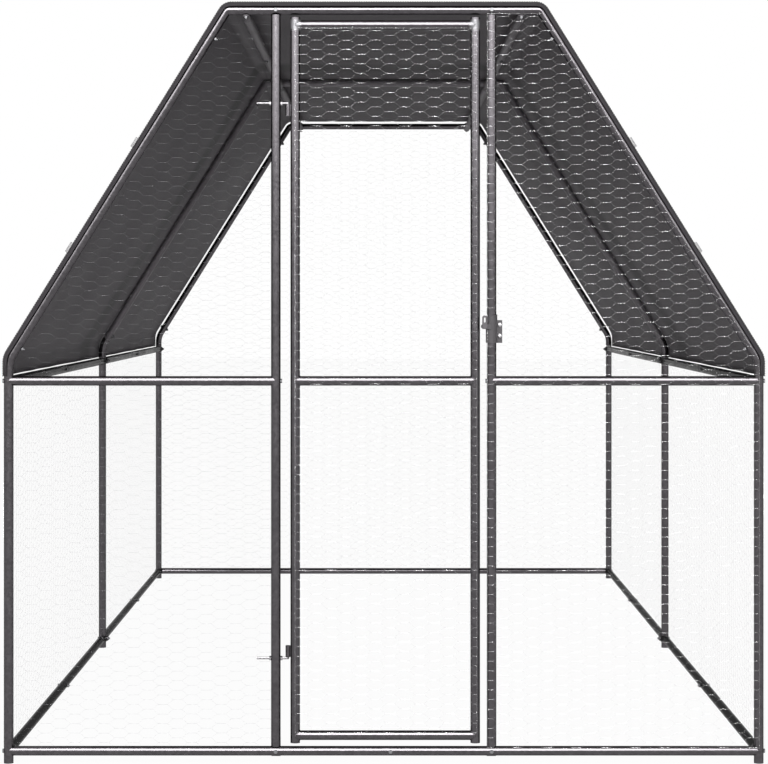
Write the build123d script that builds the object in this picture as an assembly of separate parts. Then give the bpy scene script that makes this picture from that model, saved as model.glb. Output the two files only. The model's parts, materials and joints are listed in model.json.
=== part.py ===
from build123d import *
import os
from math import atan2, ceil, cos, hypot, sin

os.makedirs("parts", exist_ok=True)

# Cage
overall_width = 2000.0  # over the outer faces of the posts
overall_height = 2002.7  # to the top of the cover
bay_length = 1987.5  # between the planes of two arches
base_rail_height = 32.0  # centres of the base rails
eave_rail_height = 1006.0  # centres of the eave rails and the front mid rails
eave_bend_height = 1060.0  # where the centrelines of post and rafter cross
top_half_width = 413.0  # from the middle to where rafter and top tube cross

# Tube
tube_diameter = 25.0
tube_wall = 1.0
eave_bend_radius = 80.0
elbow_radius = 13.0
eave_leg = 27.0  # from the eave bend to the joint with the rafter
elbow_rafter_leg = 62.0  # from the top corner to the joint with the rafter
elbow_top_leg = 36.0  # from the top corner to the joint with the top tube
spigot_length = 40.0  # narrowed end that slides into the next tube
spigot_clearance = 0.3
shoulder_length = 3.0
joint_bolt_setback = 18.0  # from a joint line to its bolt
cope_clearance = 0.1

# Pressed tube ends
tab_width = 18.0
tab_thickness = 3.0
tab_reach = 16.0  # from the crossed tube's axis to the start of the pressed part
press_length = 35.0  # from the tab to the full round tube
tab_clearance = 0.05

# Purlins
purlin_offset = 362.5  # from the middle of the cage

# Bolts
bolt_diameter = 6.0
hole_clearance = 0.25
head_width = 10.0
head_height = 4.0
nut_width = 10.0
nut_height = 5.0
nut_clearance = 0.05
thread_end = 3.0  # thread that shows past a nut
insert_length = 20.0  # threaded insert in a coped tube end
insert_clearance = 0.1
insert_setback = 1.0

# Door
door_post_offset = 284.0  # from the middle of the cage
hinge_gap = 26.0  # between the hinge post and the door
latch_gap = 18.0  # between the door and the latch post
door_top_gap = 7.0
door_bottom_gap = 9.0
stile_end = 19.5  # stile past the centre of the door's top and bottom rails
door_tab_width = 24.0
door_tab_foot = 22.0  # length of a tab on the back of its door post
low_tab_tail = 16.5  # from the bolt down, past the base rail
high_tab_tail = 12.0  # from the bolt up
tab_weld_width = 7.0
tab_weld_setback = 2.0  # from the post's end

# Hinges
upper_hinge_height = 1737.0
lower_hinge_height = 276.0
pintle_diameter = 6.0
pintle_tail = 50.0  # from the hinge post's axis to the free end
pin_length = 29.0
pin_clearance = 0.08
sleeve_diameter = 13.0
sleeve_length = 30.0
sleeve_clearance = 0.3
sleeve_web_width = 6.0
sleeve_web_depth = 5.0

# Latch
latch_pivot_height = 1149.0
latch_pivot_offset = 20.5  # from the latch post's axis
clamp_bottom = 43.0  # below the pivot
clamp_top_low = 25.0  # above the pivot, on the door side
clamp_top_high = 32.0  # above the pivot, on the far side
clamp_thickness = 2.5
clamp_clearance = 0.15
clamp_split = 1.0
flange_reach = 28.0  # from the latch post's axis
flange_top = 17.0  # above the pivot
clamp_bolt_offset = 21.8  # from the latch post's axis
clamp_bolt_heights = (5.0, -24.0)  # from the pivot
dome_diameter = 13.0
dome_height = 5.4
lug_radius = 6.6
spindle_diameter = 7.0
spindle_clearance = 0.06
fork_gap = 0.35  # between a lug and a tine
tine_thickness = 2.5
tine_width = 12.0
tine_top = 29.0  # above the pivot
tine_bottom = 6.5  # below the pivot
tine_shift = 2.8  # middle of the tine from the pivot
eye_width = 6.0
eye_length = 14.0
eye_height = 17.0  # middle of the eye above the pivot

# Cover
cover_gap = 4.3  # outside the rafters
cover_top_gap = 7.0  # above the top tubes
cover_corner_radius = 35.0
cover_thickness = 1.2
cover_overhang = 30.0  # past the planes of the end arches
skirt_gap = 0.5
hem_height = 1019.0
eave_cover_radius = 60.0

# Ties
tie_places = (0.39, 0.69)  # along a rafter from the top corner
tie_width = 30.0
tie_thickness = 1.2
tie_clearance = 0.3
tie_loop = 4.0  # height of the loop above the cover
tie_span = 24.0  # of the loop, along the cage
tie_foot = 14.0  # sewn to the cover

# Nets
net_thickness = 2.0
net_gap = 0.3
net_lap = 9.0  # how far a net stops from the axes of the base and eave rails
net_edge = 0.5
wall_mesh = 100.0
front_mesh = 62.0
door_mesh = 50.0
strand_share = 0.022  # of the mesh height
twist_share = 1.02
slant_share = 0.525
selvedge = 4.0
smallest_gap = 0.02  # of a whole gap

# Places worked out from the sizes
tube_radius = tube_diameter / 2
bore_radius = tube_radius - tube_wall
spigot_radius = bore_radius - spigot_clearance
bolt_radius = bolt_diameter / 2
post_x = overall_width / 2 - tube_radius
top_tube_height = overall_height - cover_thickness - cover_top_gap - tube_radius
arch_places = {"front": -bay_length, "mid": 0.0, "back": bay_length}
sides = {"left": -1, "right": 1}
front_y = arch_places["front"]
back_y = arch_places["back"]
rafter_angle = atan2(top_tube_height - eave_bend_height, post_x - top_half_width)
rafter_length = hypot(top_tube_height - eave_bend_height, post_x - top_half_width)
along_x = Vector(1, 0, 0)
along_y = Vector(0, 1, 0)
along_z = Vector(0, 0, 1)

parts = {}
holes = {}
frame_bolts = []
frame_nuts = []
inserts = []


# Solids used again and again
def rod(start, end, radius):
    start, end = Vector(start), Vector(end)
    axis = end - start
    return extrude(Plane(start, z_dir=axis) * Circle(radius), axis.length).solid()


def tube(start, end, radius=tube_radius, bore=bore_radius):
    start, end = Vector(start), Vector(end)
    axis = end - start
    ring = Circle(radius) - Circle(bore)
    return extrude(Plane(start, z_dir=axis) * ring, axis.length).solid()


def bent_tube(points, bend_radius):
    path = FilletPolyline(*points, radius=bend_radius)
    plane = Plane(points[0], z_dir=points[1] - points[0])
    outside = sweep(plane * Circle(tube_radius), path=path)
    inside = sweep(plane * Circle(bore_radius), path=path)
    return (outside - inside).solid()


def spigot(joint, direction):
    root = joint - direction * shoulder_length
    sleeve_bore = spigot_radius - tube_wall
    shoulder = tube(root, joint, tube_radius, sleeve_bore)
    return shoulder + tube(root, joint + direction * spigot_length, spigot_radius, sleeve_bore)


def block(low, high):
    low, high = Vector(low), Vector(high)
    size = high - low
    return Pos(*(low + size * 0.5)) * Box(abs(size.X), abs(size.Y), abs(size.Z))


def hexagon(seat, direction, width, height):
    plane = Plane(seat, z_dir=direction)
    return extrude(plane * RegularPolygon(width / 2, 6, major_radius=False), height)


def drill(names, start, end, radius=bolt_radius + hole_clearance):
    for name in names:
        holes.setdefault(name, []).append(rod(start, end, radius))


# A tube end pressed to a tab that lies against the tube it crosses
def tab_centre(level):
    return tube_radius + tab_clearance + level * (tab_thickness + tab_clearance) + tab_thickness / 2


def pressed_end(crossing, along, sideways, level=0, axis_offset=0.0):
    across = along.cross(sideways)
    tab_middle = crossing + sideways * tab_centre(level)
    round_end = crossing + sideways * axis_offset + along * (tab_reach + press_length)
    flat_start = tab_middle + along * tab_reach
    sections = [
        Plane(round_end, x_dir=across, z_dir=along) * Circle(tube_radius),
        Plane(flat_start, x_dir=across, z_dir=along) * Ellipse(tab_width / 2, tab_thickness / 2),
    ]
    outline = Circle(tab_width / 2) + Pos(tab_reach / 2, 0) * Rectangle(tab_reach, tab_width)
    plane = Plane(tab_middle, x_dir=along, z_dir=sideways)
    tab = extrude(plane * outline, tab_thickness / 2, both=True)
    return loft(sections) + tab


def round_start(crossing, along, sideways, axis_offset=0.0):
    return crossing + sideways * axis_offset + along * (tab_reach + press_length)


# Bolts with a nut, or with a threaded insert in the end of a coped tube
def bolt(seat, direction, length):
    head = hexagon(seat, direction * -1, head_width, head_height)
    return (head + rod(seat, seat + direction * length, bolt_radius)).solid()


def nut(seat, direction):
    body = hexagon(seat, direction, nut_width, nut_height)
    bore = rod(seat, seat + direction * nut_height, bolt_radius + nut_clearance)
    return (body - bore).solid()


def bolt_with_nut(seat, direction, grip, names):
    length = grip + nut_height + thread_end
    frame_bolts.append(bolt(seat, direction, length))
    frame_nuts.append(nut(seat + direction * grip, direction))
    drill(names, seat, seat + direction * length)


def bolt_with_insert(seat, direction, grip, names):
    length = grip + insert_length
    frame_bolts.append(bolt(seat, direction, length))
    start = seat + direction * grip
    end = start + direction * insert_length
    body = rod(start, end, bore_radius - insert_clearance)
    inserts.append((body - rod(start, end, bolt_radius + nut_clearance)).solid())
    drill(names, seat, seat + direction * length)


# Places on the arches
def rafter_point(side, y, along, outward=0.0):
    x = post_x - along * cos(rafter_angle) + outward * sin(rafter_angle)
    z = eave_bend_height + along * sin(rafter_angle) + outward * cos(rafter_angle)
    return Vector(side * x, y, z)


def rafter_outward(side):
    return Vector(side * sin(rafter_angle), 0, cos(rafter_angle))


def rafter_upward(side):
    return Vector(-side * cos(rafter_angle), 0, sin(rafter_angle))


# Arches: posts, rafters, elbows and top tubes
for arch, y in arch_places.items():
    elbows = []
    top_half_length = top_half_width - elbow_top_leg
    for side_name, side in sides.items():
        upward = rafter_upward(side)
        eave_joint = rafter_point(side, y, eave_leg)
        rafter_top = rafter_point(side, y, rafter_length - elbow_rafter_leg)
        top_joint = Vector(side * top_half_length, y, top_tube_height)

        post_path = [Vector(side * post_x, y, 0), rafter_point(side, y, 0), eave_joint]
        post = bent_tube(post_path, eave_bend_radius) + spigot(eave_joint, upward)
        parts[f"{arch}_{side_name}_post"] = [post]

        parts[f"{arch}_{side_name}_rafter"] = [tube(eave_joint, rafter_top)]

        elbow_path = [rafter_top, rafter_point(side, y, rafter_length), top_joint]
        elbow = bent_tube(elbow_path, elbow_radius)
        elbow += spigot(rafter_top, upward * -1)
        elbow += spigot(top_joint, along_x * -side)
        elbows.append(elbow)

        outward = rafter_outward(side)
        names = [f"{arch}_{side_name}_post", f"{arch}_{side_name}_rafter", f"{arch}_elbows"]
        low_bolt = eave_leg + joint_bolt_setback
        high_bolt = rafter_length - elbow_rafter_leg - joint_bolt_setback
        for place in (low_bolt, high_bolt):
            seat = rafter_point(side, y, place, tube_radius)
            bolt_with_nut(seat, outward * -1, tube_diameter, names)
    parts[f"{arch}_elbows"] = elbows
    top_ends = [Vector(side * top_half_length, y, top_tube_height) for side in (-1, 1)]
    parts[f"{arch}_top_tube"] = [tube(*top_ends)]


# Rails along the sides and under the roof, two tubes to a bay
def bay_rail(start, end, sideways, start_level, axis_offset):
    along = (end - start).normalized()
    first = round_start(start, along, sideways, axis_offset)
    last = round_start(end, along * -1, sideways, axis_offset)
    joint = (first + last) * 0.5
    near = pressed_end(start, along, sideways, start_level, axis_offset)
    near = near + tube(first, joint) + spigot(joint, along)
    far = pressed_end(end, along * -1, sideways, 0, axis_offset) + tube(joint, last)
    return [near, far], joint


bays = {"front": ("front", "mid"), "back": ("mid", "back")}
for bay, (start_arch, end_arch) in bays.items():
    start_level = 1 if bay == "back" else 0
    start_y, end_y = arch_places[start_arch], arch_places[end_arch]
    for side_name, side in sides.items():
        inward = along_x * -side
        for kind, height in (("base", base_rail_height), ("eave", eave_rail_height)):
            name = f"{side_name}_{kind}_rail_{bay}"
            start = Vector(side * post_x, start_y, height)
            end = Vector(side * post_x, end_y, height)
            parts[name], joint = bay_rail(start, end, inward, start_level, 0.0)
            seat = joint + along_y * joint_bolt_setback - inward * tube_radius
            bolt_with_nut(seat, inward, tube_diameter, [name])

        name = f"{side_name}_purlin_{bay}"
        start = Vector(side * purlin_offset, start_y, top_tube_height)
        end = Vector(side * purlin_offset, end_y, top_tube_height)
        down = along_z * -1
        parts[name], joint = bay_rail(start, end, down, start_level, tab_centre(0))
        seat = joint + along_y * joint_bolt_setback + along_z * tube_radius
        bolt_with_nut(seat, down, tube_diameter, [name])

for arch, y in arch_places.items():
    tab_count = 2 if arch == "mid" else 1
    tab_stack = tab_count * (tab_thickness + tab_clearance)
    bay_names = list(bays) if arch == "mid" else [arch]
    for side_name, side in sides.items():
        seat = Vector(side * purlin_offset, y, top_tube_height + tube_radius)
        names = [f"{arch}_top_tube", f"{arch}_elbows"]
        names += [f"{side_name}_purlin_{bay}" for bay in bay_names]
        bolt_with_nut(seat, along_z * -1, tube_diameter + tab_stack, names)

        inward = along_x * -side
        for kind, height in (("base", base_rail_height), ("eave", eave_rail_height)):
            seat = Vector(side * (post_x + tube_radius), y, height)
            names = [f"{arch}_{side_name}_post"]
            names += [f"{side_name}_{kind}_rail_{bay}" for bay in bay_names]
            grip = tube_diameter + tab_stack
            if arch == "mid" or (arch == "back" and kind == "eave"):
                bolt_with_nut(seat, inward, grip, names)
            else:
                bolt_with_insert(seat, inward, grip + insert_setback, names)


# Rails across the ends, coped to the posts and notched for the side rails' tabs
def cope(post_axis_x, y, height):
    foot = Vector(post_axis_x, y, height - tube_diameter)
    return rod(foot, foot + along_z * 2 * tube_diameter, tube_radius + cope_clearance)


def tab_notch(side, y, height, behind):
    half = tab_width / 2 + tab_clearance + cope_clearance
    depth = tube_radius + tab_thickness + insert_setback
    low = Vector(side * post_x, y - behind * half, height - half)
    high = Vector(side * (post_x - depth), y + behind * tube_diameter, height + half)
    return block(low, high)


for arch, behind in (("front", 1), ("back", -1)):
    y = arch_places[arch]
    name = f"{arch}_base_rail"
    middle = Vector(0, y, base_rail_height)
    left = tube(middle - along_x * post_x, middle) + spigot(middle, along_x)
    right = tube(middle, middle + along_x * post_x)
    rail = []
    for half, side in ((left, -1), (right, 1)):
        coped = half - cope(side * post_x, y, base_rail_height)
        rail.append(coped - tab_notch(side, y, base_rail_height, behind))
    parts[name] = rail
    seat = middle + along_x * joint_bolt_setback - along_y * behind * tube_radius
    bolt_with_nut(seat, along_y * behind, tube_diameter, [name])

for side_name, side in sides.items():
    name = f"front_mid_rail_{side_name}"
    outer = Vector(side * post_x, front_y, eave_rail_height)
    inner = Vector(side * door_post_offset, front_y, eave_rail_height)
    rail = tube(inner, outer) - cope(side * post_x, front_y, eave_rail_height)
    rail = rail - cope(side * door_post_offset, front_y, eave_rail_height)
    parts[name] = [rail - tab_notch(side, front_y, eave_rail_height, 1)]
    seat = inner - along_x * side * tube_radius
    grip = tube_diameter + insert_setback
    bolt_with_insert(seat, along_x * side, grip, [f"door_post_{side_name}"])

# Door posts, cut square between base rail and top tube, with a welded tab behind each end
door_post_end = tube_radius + cope_clearance


def back_tab(crossing, inward, tail):
    half = along_x * (door_tab_width / 2)
    face = crossing + along_y * (tube_radius + tab_clearance)
    inner = inward * (door_post_end + door_tab_foot)
    plate = block(face - inward * tail - half, face + inner + half + along_y * tab_thickness)
    half_weld = along_x * (tab_weld_width / 2)
    root = crossing + along_y * (tube_radius - tube_wall / 2)
    weld_start = root + inward * (door_post_end + tab_weld_setback) - half_weld
    weld_end = face + inner + half_weld + along_y * (tab_thickness / 2)
    return plate + block(weld_start, weld_end)


for side_name, side in sides.items():
    name = f"door_post_{side_name}"
    x = side * door_post_offset
    bottom = Vector(x, front_y, base_rail_height)
    top = Vector(x, front_y, top_tube_height)
    post = tube(bottom + along_z * door_post_end, top - along_z * door_post_end)
    post = post + back_tab(bottom, along_z, low_tab_tail)
    parts[name] = [post + back_tab(top, along_z * -1, high_tab_tail)]
    grip = tube_diameter + tab_thickness + tab_clearance
    for crossing, crossed in ((bottom, "front_base_rail"), (top, "front_top_tube")):
        bolt_with_nut(crossing - along_y * tube_radius, along_y, grip, [name, crossed])

# Door frame
hinge_post_x = -door_post_offset
latch_post_x = door_post_offset
left_stile_x = hinge_post_x + tube_diameter + hinge_gap
right_stile_x = latch_post_x - tube_diameter - latch_gap
door_bottom = base_rail_height + tube_radius + door_bottom_gap
door_top = top_tube_height - tube_radius - door_top_gap
stile_places = {"left": left_stile_x, "right": right_stile_x}
for side_name, x in stile_places.items():
    parts[f"door_stile_{side_name}"] = [tube((x, front_y, door_bottom), (x, front_y, door_top))]
door_rail_heights = {
    "top": door_top - stile_end,
    "mid": eave_rail_height,
    "bottom": door_bottom + stile_end,
}
for rail_name, height in door_rail_heights.items():
    rail = tube((left_stile_x, front_y, height), (right_stile_x, front_y, height))
    for x in stile_places.values():
        rail = rail - cope(x, front_y, height)
    parts[f"door_rail_{rail_name}"] = [rail]

# Hinges: bent pintles through the hinge post, sleeves welded to the door
sleeve_radius = sleeve_diameter / 2
pintle_radius = pintle_diameter / 2
hinge_x = left_stile_x - tube_radius - sleeve_radius
sleeves = []
for place, height, turn in (("upper", upper_hinge_height, -1), ("lower", lower_hinge_height, 1)):
    corner = Vector(hinge_x, front_y, height)
    tail = Vector(hinge_post_x - pintle_tail, front_y, height)
    pin_end = corner + along_z * turn * (pintle_radius + pin_length)
    pintle = rod(tail, corner, pintle_radius) + rod(corner, pin_end, pintle_radius)
    pintle = pintle + Pos(*corner) * Sphere(pintle_radius)
    parts[f"hinge_pintle_{place}"] = [pintle]
    drill(["door_post_left"], tail, corner, pintle_radius + hole_clearance)
    post_axis = Vector(hinge_post_x, front_y, height)
    for direction in (-1, 1):
        seat = post_axis + along_x * direction * tube_radius
        frame_nuts.append(nut(seat, along_x * direction))

    near = corner + along_z * turn * (pintle_radius + sleeve_clearance)
    far = near + along_z * turn * sleeve_length
    sleeve = rod(near, far, sleeve_radius)
    web_low = near + along_y * -sleeve_web_width / 2
    web_high = far + along_y * sleeve_web_width / 2 + along_x * (sleeve_radius + sleeve_web_depth)
    sleeve = sleeve + block(web_low, web_high)
    stile_foot = Vector(left_stile_x, front_y, min(near.Z, far.Z) - tube_diameter)
    stile_head = Vector(left_stile_x, front_y, max(near.Z, far.Z) + tube_diameter)
    sleeve = sleeve - rod(stile_foot, stile_head, tube_radius)
    sleeves.append(sleeve - rod(near, far, pintle_radius + pin_clearance))
parts["hinge_sleeves"] = sleeves

# Latch: a split clamp on the latch post and a fork that drops over the door's edge
latch_axis = Vector(latch_post_x, front_y, latch_pivot_height)
pivot = latch_axis - along_x * latch_pivot_offset
clamp_bore = tube_radius + clamp_clearance
clamp_radius = clamp_bore + clamp_thickness
lug_inner = clamp_radius - clamp_thickness / 2
lug_outer = lug_inner + clamp_thickness
spindle_radius = spindle_diameter / 2
for half_name, behind in (("front", -1), ("back", 1)):
    foot = latch_axis - along_z * clamp_bottom
    shell = tube(foot, latch_axis + along_z * clamp_top_high, clamp_radius, clamp_bore)
    slope = Polyline(
        (-clamp_radius, clamp_top_low),
        (clamp_radius, clamp_top_high),
        (clamp_radius, clamp_top_high + clamp_radius),
        (-clamp_radius, clamp_top_high + clamp_radius),
        close=True,
    )
    slope_plane = Plane(latch_axis, x_dir=along_x, z_dir=along_y * -1)
    shell = shell - extrude(slope_plane * make_face(slope), clamp_radius, both=True)
    half_low = foot - along_x * clamp_radius + along_y * behind * clamp_split / 2
    half_high = latch_axis + along_x * clamp_radius + along_z * clamp_top_high
    shell = shell & block(half_low, half_high + along_y * behind * clamp_radius)
    flange_low = foot + along_x * clamp_bore + along_y * behind * clamp_split / 2
    flange_high = latch_axis + along_x * flange_reach + along_z * flange_top
    flange = block(flange_low, flange_high + along_y * behind * (clamp_split / 2 + clamp_thickness))
    lug_start = pivot + along_y * behind * lug_inner
    lug_end = pivot + along_y * behind * lug_outer
    lug_body = block(
        lug_start - along_z * lug_radius,
        lug_end + along_z * lug_radius + along_x * latch_pivot_offset,
    )
    clamp = shell + flange + lug_body + rod(lug_start, lug_end, lug_radius)
    clamp = clamp - rod(lug_start, lug_end, spindle_radius + spindle_clearance)
    parts[f"latch_clamp_{half_name}"] = [clamp]

carriage_bolts = []
flange_half = clamp_split / 2 + clamp_thickness
for height in clamp_bolt_heights:
    middle = latch_axis + along_x * clamp_bolt_offset + along_z * height
    seat = middle - along_y * flange_half
    dome_radius = dome_diameter / 2
    ball_radius = (dome_radius**2 + dome_height**2) / (2 * dome_height)
    ball = Pos(*(seat + along_y * (ball_radius - dome_height))) * Sphere(ball_radius)
    dome = ball & rod(seat - along_y * dome_height, seat, ball_radius)
    length = 2 * flange_half + nut_height + thread_end
    carriage_bolts.append(dome + rod(seat, seat + along_y * length, bolt_radius))
    frame_nuts.append(nut(middle + along_y * flange_half, along_y))
    drill(["latch_clamp_front", "latch_clamp_back"], seat, seat + along_y * length)
parts["latch_bolts"] = carriage_bolts

tine_inner = lug_outer + fork_gap
tine_outer = tine_inner + tine_thickness
fork = rod(pivot - along_y * tine_outer, pivot + along_y * tine_outer, spindle_radius)
tine_height = tine_top + tine_bottom
tine_middle = (tine_top - tine_bottom) / 2
tine_face = Pos(tine_shift, tine_middle) * SlotOverall(tine_height, tine_width, rotation=90)
tine_face -= Pos(tine_shift, eye_height) * SlotOverall(eye_length, eye_width, rotation=90)
for behind in (-1, 1):
    start = pivot + along_y * (tine_outer if behind > 0 else -tine_inner)
    tine_plane = Plane(start, x_dir=along_x, z_dir=along_y * -1)
    fork = fork + extrude(tine_plane * tine_face, tine_thickness)
parts["latch_fork"] = [fork]


# Roof cover, one sheet bent over the arches
def cover_line(offset):
    distance = tube_radius + cover_gap + offset
    skirt_x = overall_width / 2 + skirt_gap + offset
    rise = eave_bend_height + distance / cos(rafter_angle)
    slope = sin(rafter_angle) / cos(rafter_angle)
    eave = (skirt_x, rise - (skirt_x - post_x) * slope)
    top_z = top_tube_height + tube_radius + cover_top_gap + offset
    corner = (post_x - (top_z - rise) / slope, top_z)
    hem = (skirt_x, hem_height)
    half = [hem, eave, corner]
    other_half = [(-x, z) for x, z in reversed(half)]
    corner_radius = cover_corner_radius + offset
    eave_radius = eave_cover_radius + offset
    radii = (eave_radius, corner_radius, corner_radius, eave_radius)
    return FilletPolyline(*half, *other_half, radius=radii)


inner_line = cover_line(0.0)
outer_line = cover_line(cover_thickness)
hems = [Line(inner_line @ end, outer_line @ end) for end in (0, 1)]
cover_face = make_face([inner_line.edges(), outer_line.edges(), *[hem.edges() for hem in hems]])
cover_plane = Plane((0, 0, 0), x_dir=along_x, z_dir=along_y * -1)
cover = extrude(cover_plane * cover_face, bay_length + cover_overhang, both=True).solid()

# Webbing loops sewn on the outside of the cover, over the end arches' rafters
tie_level = tube_radius + cover_gap + cover_thickness + tie_clearance
bow_height = tie_loop + tie_thickness
ties = []
for arch in ("front", "back"):
    for side in sides.values():
        for place in tie_places:
            middle = rafter_point(side, arch_places[arch], rafter_length * (1 - place))
            plane = Plane(middle, x_dir=along_y, z_dir=rafter_upward(side))
            sense = 1 if plane.y_dir.dot(rafter_outward(side)) > 0 else -1
            webbing = Rectangle(tie_span + 2 * tie_foot, tie_thickness)
            webbing = Pos(0, sense * (tie_level + tie_thickness / 2)) * webbing
            bow = Rectangle(tie_span + 2 * tie_thickness, bow_height)
            webbing += Pos(0, sense * (tie_level + bow_height / 2)) * bow
            hollow = Rectangle(tie_span, tie_loop)
            webbing -= Pos(0, sense * (tie_level + tie_loop / 2)) * hollow
            ties.append(extrude(plane * webbing, tie_width / 2, both=True))
parts["roof_cover"] = [cover]
parts["cover_ties"] = ties


# Hexagonal netting: a flat sheet of strands cut from an outline
def inset(polygon, distance):
    count = len(polygon)
    lines = []
    for i in range(count):
        (x0, y0), (x1, y1) = polygon[i], polygon[(i + 1) % count]
        length = hypot(x1 - x0, y1 - y0)
        nx, ny = -(y1 - y0) / length, (x1 - x0) / length
        lines.append((nx, ny, nx * x0 + ny * y0 + distance))
    corners = []
    for i in range(count):
        a0, b0, c0 = lines[i - 1]
        a1, b1, c1 = lines[i]
        det = a0 * b1 - a1 * b0
        corners.append(((c0 * b1 - c1 * b0) / det, (a0 * c1 - a1 * c0) / det))
    return corners


def clip(polygon, outline):
    count = len(outline)
    for i in range(count):
        (x0, y0), (x1, y1) = outline[i], outline[(i + 1) % count]
        kept = []
        depths = [(x1 - x0) * (y - y0) - (y1 - y0) * (x - x0) for x, y in polygon]
        for k, point in enumerate(polygon):
            before, last = depths[k - 1], polygon[k - 1]
            if (depths[k] > 0) != (before > 0):
                share = before / (before - depths[k])
                crossing_x = last[0] + share * (point[0] - last[0])
                kept.append((crossing_x, last[1] + share * (point[1] - last[1])))
            if depths[k] > 0:
                kept.append(point)
        polygon = kept
        if len(polygon) < 3:
            return []
    return polygon


def area(polygon):
    pairs = zip(polygon, polygon[1:] + polygon[:1])
    return sum(x0 * y1 - x1 * y0 for (x0, y0), (x1, y1) in pairs) / 2


def net(outline, mesh, plane):
    inner = inset(outline, selvedge)
    strand = mesh * strand_share
    twist, slant = mesh * twist_share, mesh * slant_share
    pitch = twist + slant
    lows = [min(values) for values in zip(*inner)]
    highs = [max(values) for values in zip(*inner)]
    columns = ceil((highs[0] - lows[0]) / pitch) + 1
    rows = ceil((highs[1] - lows[1]) / mesh) + 1
    wires = []
    for column in range(columns):
        for row in range(rows):
            x = lows[0] + column * pitch
            y = lows[1] + (row + (column % 2) / 2) * mesh
            half_twist, half = twist / 2, mesh / 2
            cell = [
                (x - half_twist, y - half),
                (x + half_twist, y - half),
                (x + half_twist + slant, y),
                (x + half_twist, y + half),
                (x - half_twist, y + half),
                (x - half_twist - slant, y),
            ]
            gap = clip(inset(cell, strand / 2), inner)
            if gap and area(gap) > smallest_gap * area(cell):
                wires.append(Wire.make_polygon(gap, close=True))
    sheet = Face(Wire.make_polygon(outline, close=True), wires)
    return extrude(plane * sheet, net_thickness).solid()


def end_net_plane(y):
    return Plane((0, y, 0), x_dir=along_x, z_dir=along_y * -1)


net_seat = tube_radius + net_gap
net_low = base_rail_height + net_lap
wall_outline = [
    (front_y, net_low),
    (back_y, net_low),
    (back_y, eave_rail_height - net_lap),
    (front_y, eave_rail_height - net_lap),
]
for side_name, side in sides.items():
    net_start = net_seat if side > 0 else -net_seat - net_thickness
    plane = Plane((side * post_x + net_start, 0, 0), x_dir=along_y, z_dir=along_x)
    parts[f"{side_name}_wall_net"] = [net(wall_outline, wall_mesh, plane)]

gable_top = top_tube_height - net_lap


def rafter_x(height):
    return post_x - (height - eave_bend_height) * cos(rafter_angle) / sin(rafter_angle)


back_outline = [
    (-post_x, net_low),
    (post_x, net_low),
    (post_x, eave_bend_height),
    (rafter_x(gable_top), gable_top),
    (-rafter_x(gable_top), gable_top),
    (-post_x, eave_bend_height),
]
back_net = net(back_outline, wall_mesh, end_net_plane(back_y + net_seat + net_thickness))
parts["back_net"] = [back_net]

right_outline = [
    (latch_post_x - tube_radius + net_edge, net_low),
    (post_x, net_low),
    (post_x, eave_bend_height),
    (rafter_x(gable_top), gable_top),
    (latch_post_x - tube_radius + net_edge, gable_top),
]
right_net = net(right_outline, front_mesh, end_net_plane(front_y - net_seat))
latch_room = block(
    latch_axis - Vector(tube_diameter, tube_diameter, clamp_bottom + net_lap),
    latch_axis + Vector(flange_reach + net_lap, 0, clamp_top_high + net_lap),
)
parts["front_net_right"] = [right_net - latch_room]

left_net_x = post_x - tube_radius - 2 * tab_thickness
left_net_inner = door_post_offset + tube_radius + net_edge
left_net_top = top_tube_height - tab_centre(1) - tube_radius - net_edge
left_outline = [
    (-left_net_x, base_rail_height - tube_radius / 2),
    (-left_net_inner, base_rail_height - tube_radius / 2),
    (-left_net_inner, left_net_top),
    (-rafter_x(left_net_top), left_net_top),
    (-left_net_x, eave_bend_height + (post_x - left_net_x) * sin(rafter_angle) / cos(rafter_angle)),
]
left_net = net(left_outline, front_mesh, end_net_plane(front_y + net_seat + net_thickness))
parts["front_net_left"] = [left_net]

door_net_left = left_stile_x
door_net_right = right_stile_x + tube_radius - net_edge
door_outline = [
    (door_net_left, door_bottom + net_lap),
    (door_net_right, door_bottom + net_lap),
    (door_net_right, door_top - net_lap),
    (door_net_left, door_top - net_lap),
]
parts["door_net"] = [net(door_outline, door_mesh, end_net_plane(front_y - net_seat))]

parts["frame_bolts"] = frame_bolts
parts["frame_nuts"] = frame_nuts
parts["rail_inserts"] = inserts

# Bolt holes, then one file for each part
for name, solids in parts.items():
    drilled = []
    for piece in solids:
        if name in holes:
            piece = piece - holes[name]
        drilled.extend(piece.solids())
    export_step(drilled[0] if len(drilled) == 1 else Compound(drilled), f"parts/{name}.step")
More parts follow.
